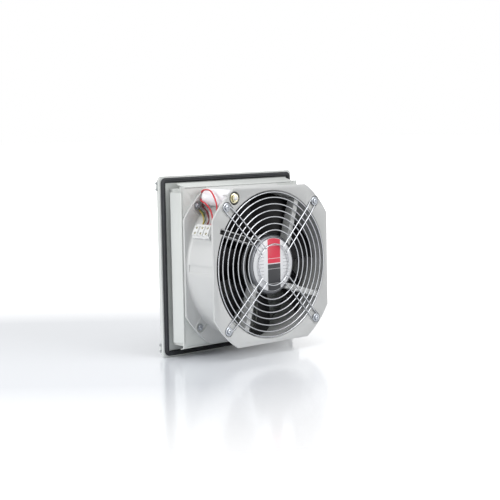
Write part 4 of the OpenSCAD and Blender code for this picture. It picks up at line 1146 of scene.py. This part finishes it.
def floor():
    """A wide floor: a soft sheen and shadow near the object, going over to plain white further off."""
    half = FLOOR_HALF
    mesh = bpy.data.meshes.new("floor")
    mesh.from_pydata([(-half, -half, FLOOR_Z), (half, -half, FLOOR_Z), (half, half, FLOOR_Z),
                      (-half, half, FLOOR_Z)], [], [(0, 1, 2, 3)])
    material, tree, shader, coordinates = blank_material("floor")
    away = add(tree, "ShaderNodeMapping", {
        "Vector": coordinates, "Rotation": (0.0, 0.0, math.radians(180 - CAMERA_AZIMUTH))})
    parts = add(tree, "ShaderNodeSeparateXYZ", {"Vector": away.outputs["Vector"]})
    near = inside(tree, parts.outputs["Y"], FLOOR_BACK_Y, FLOOR_FRONT_Y, FLOOR_FADE)
    beside = inside(tree, parts.outputs["X"], FLOOR_RIGHT_X, FLOOR_LEFT_X, FLOOR_FADE)
    lit = both_masks(tree, near, beside)
    white = add(tree, "ShaderNodeMath", {0: 1.0, 1: lit}, operation="SUBTRACT").outputs["Value"]
    black = (0.0, 0.0, 0.0, 1.0)
    tree.links.new(mixed(tree, lit, black, srgb(229, 232, 237)), shader.inputs["Base Color"])
    tree.links.new(mixed(tree, white, black, (1.0, 1.0, 1.0, 1.0)), shader.inputs["Emission Color"])
    tree.links.new(seen_directly(tree), shader.inputs["Emission Strength"])
    shader.inputs["Roughness"].default_value = 0.13
    shader.inputs["Specular IOR Level"].default_value = 0.38
    mesh.materials.append(material)
    ground = bpy.data.objects.new("floor", mesh)
    bpy.context.scene.collection.objects.link(ground)


def lamp(name, place, target, size, power):
    """A large soft lamp that faces a point."""
    data = bpy.data.lights.new(name, "AREA")
    data.shape = "RECTANGLE"
    data.size = size[0]
    data.size_y = size[1]
    data.energy = power
    light = bpy.data.objects.new(name, data)
    light.location = place
    light.rotation_euler = (Vector(target) - Vector(place)).to_track_quat("-Z", "Y").to_euler()
    bpy.context.scene.collection.objects.link(light)


def world():
    """Soft light from all round, and white behind the object where the camera sees it."""
    sky = bpy.data.worlds.new("studio")
    sky.use_nodes = True
    tree = sky.node_tree
    tree.nodes.clear()
    soft = add(tree, "ShaderNodeBackground", {"Color": (0.95, 0.97, 1.0, 1.0), "Strength": 0.33})
    white = add(tree, "ShaderNodeBackground", {"Color": (1.0, 1.0, 1.0, 1.0), "Strength": 1.0})
    both = add(tree, "ShaderNodeMixShader", {
        0: seen_directly(tree), 1: soft.outputs["Background"], 2: white.outputs["Background"]})
    add(tree, "ShaderNodeOutputWorld", {"Surface": both.outputs["Shader"]})
    bpy.context.scene.world = sky


def lights():
    """Lamps beside, above and in front of the fan side, and a weak one on the cover side."""
    lamp("beside", (3.0, -0.3, 0.8), (0, 0, 0), (1.4, 1.6), 52)
    lamp("above", (0.4, 0.8, 2.6), (0, 0.05, 0), (2.0, 2.0), 35)
    lamp("facing", (-0.8, 2.6, 1.0), (0, 0.1, 0), (1.8, 1.4), 36)
    lamp("cover_side", (0.3, -2.6, 1.2), (0, 0, 0), (1.8, 1.2), 12)


camera()
leads()
motor_cable()
finger_guard()
fan_fasteners()
motor_cap()
impeller()
rotor_cup()
stator_windings()
gasket()
filter_mat()
capacitor()
rounded_pieces()
dress_solids()
floor()
world()
lights()
bpy.context.scene.view_settings.view_transform = "Standard"
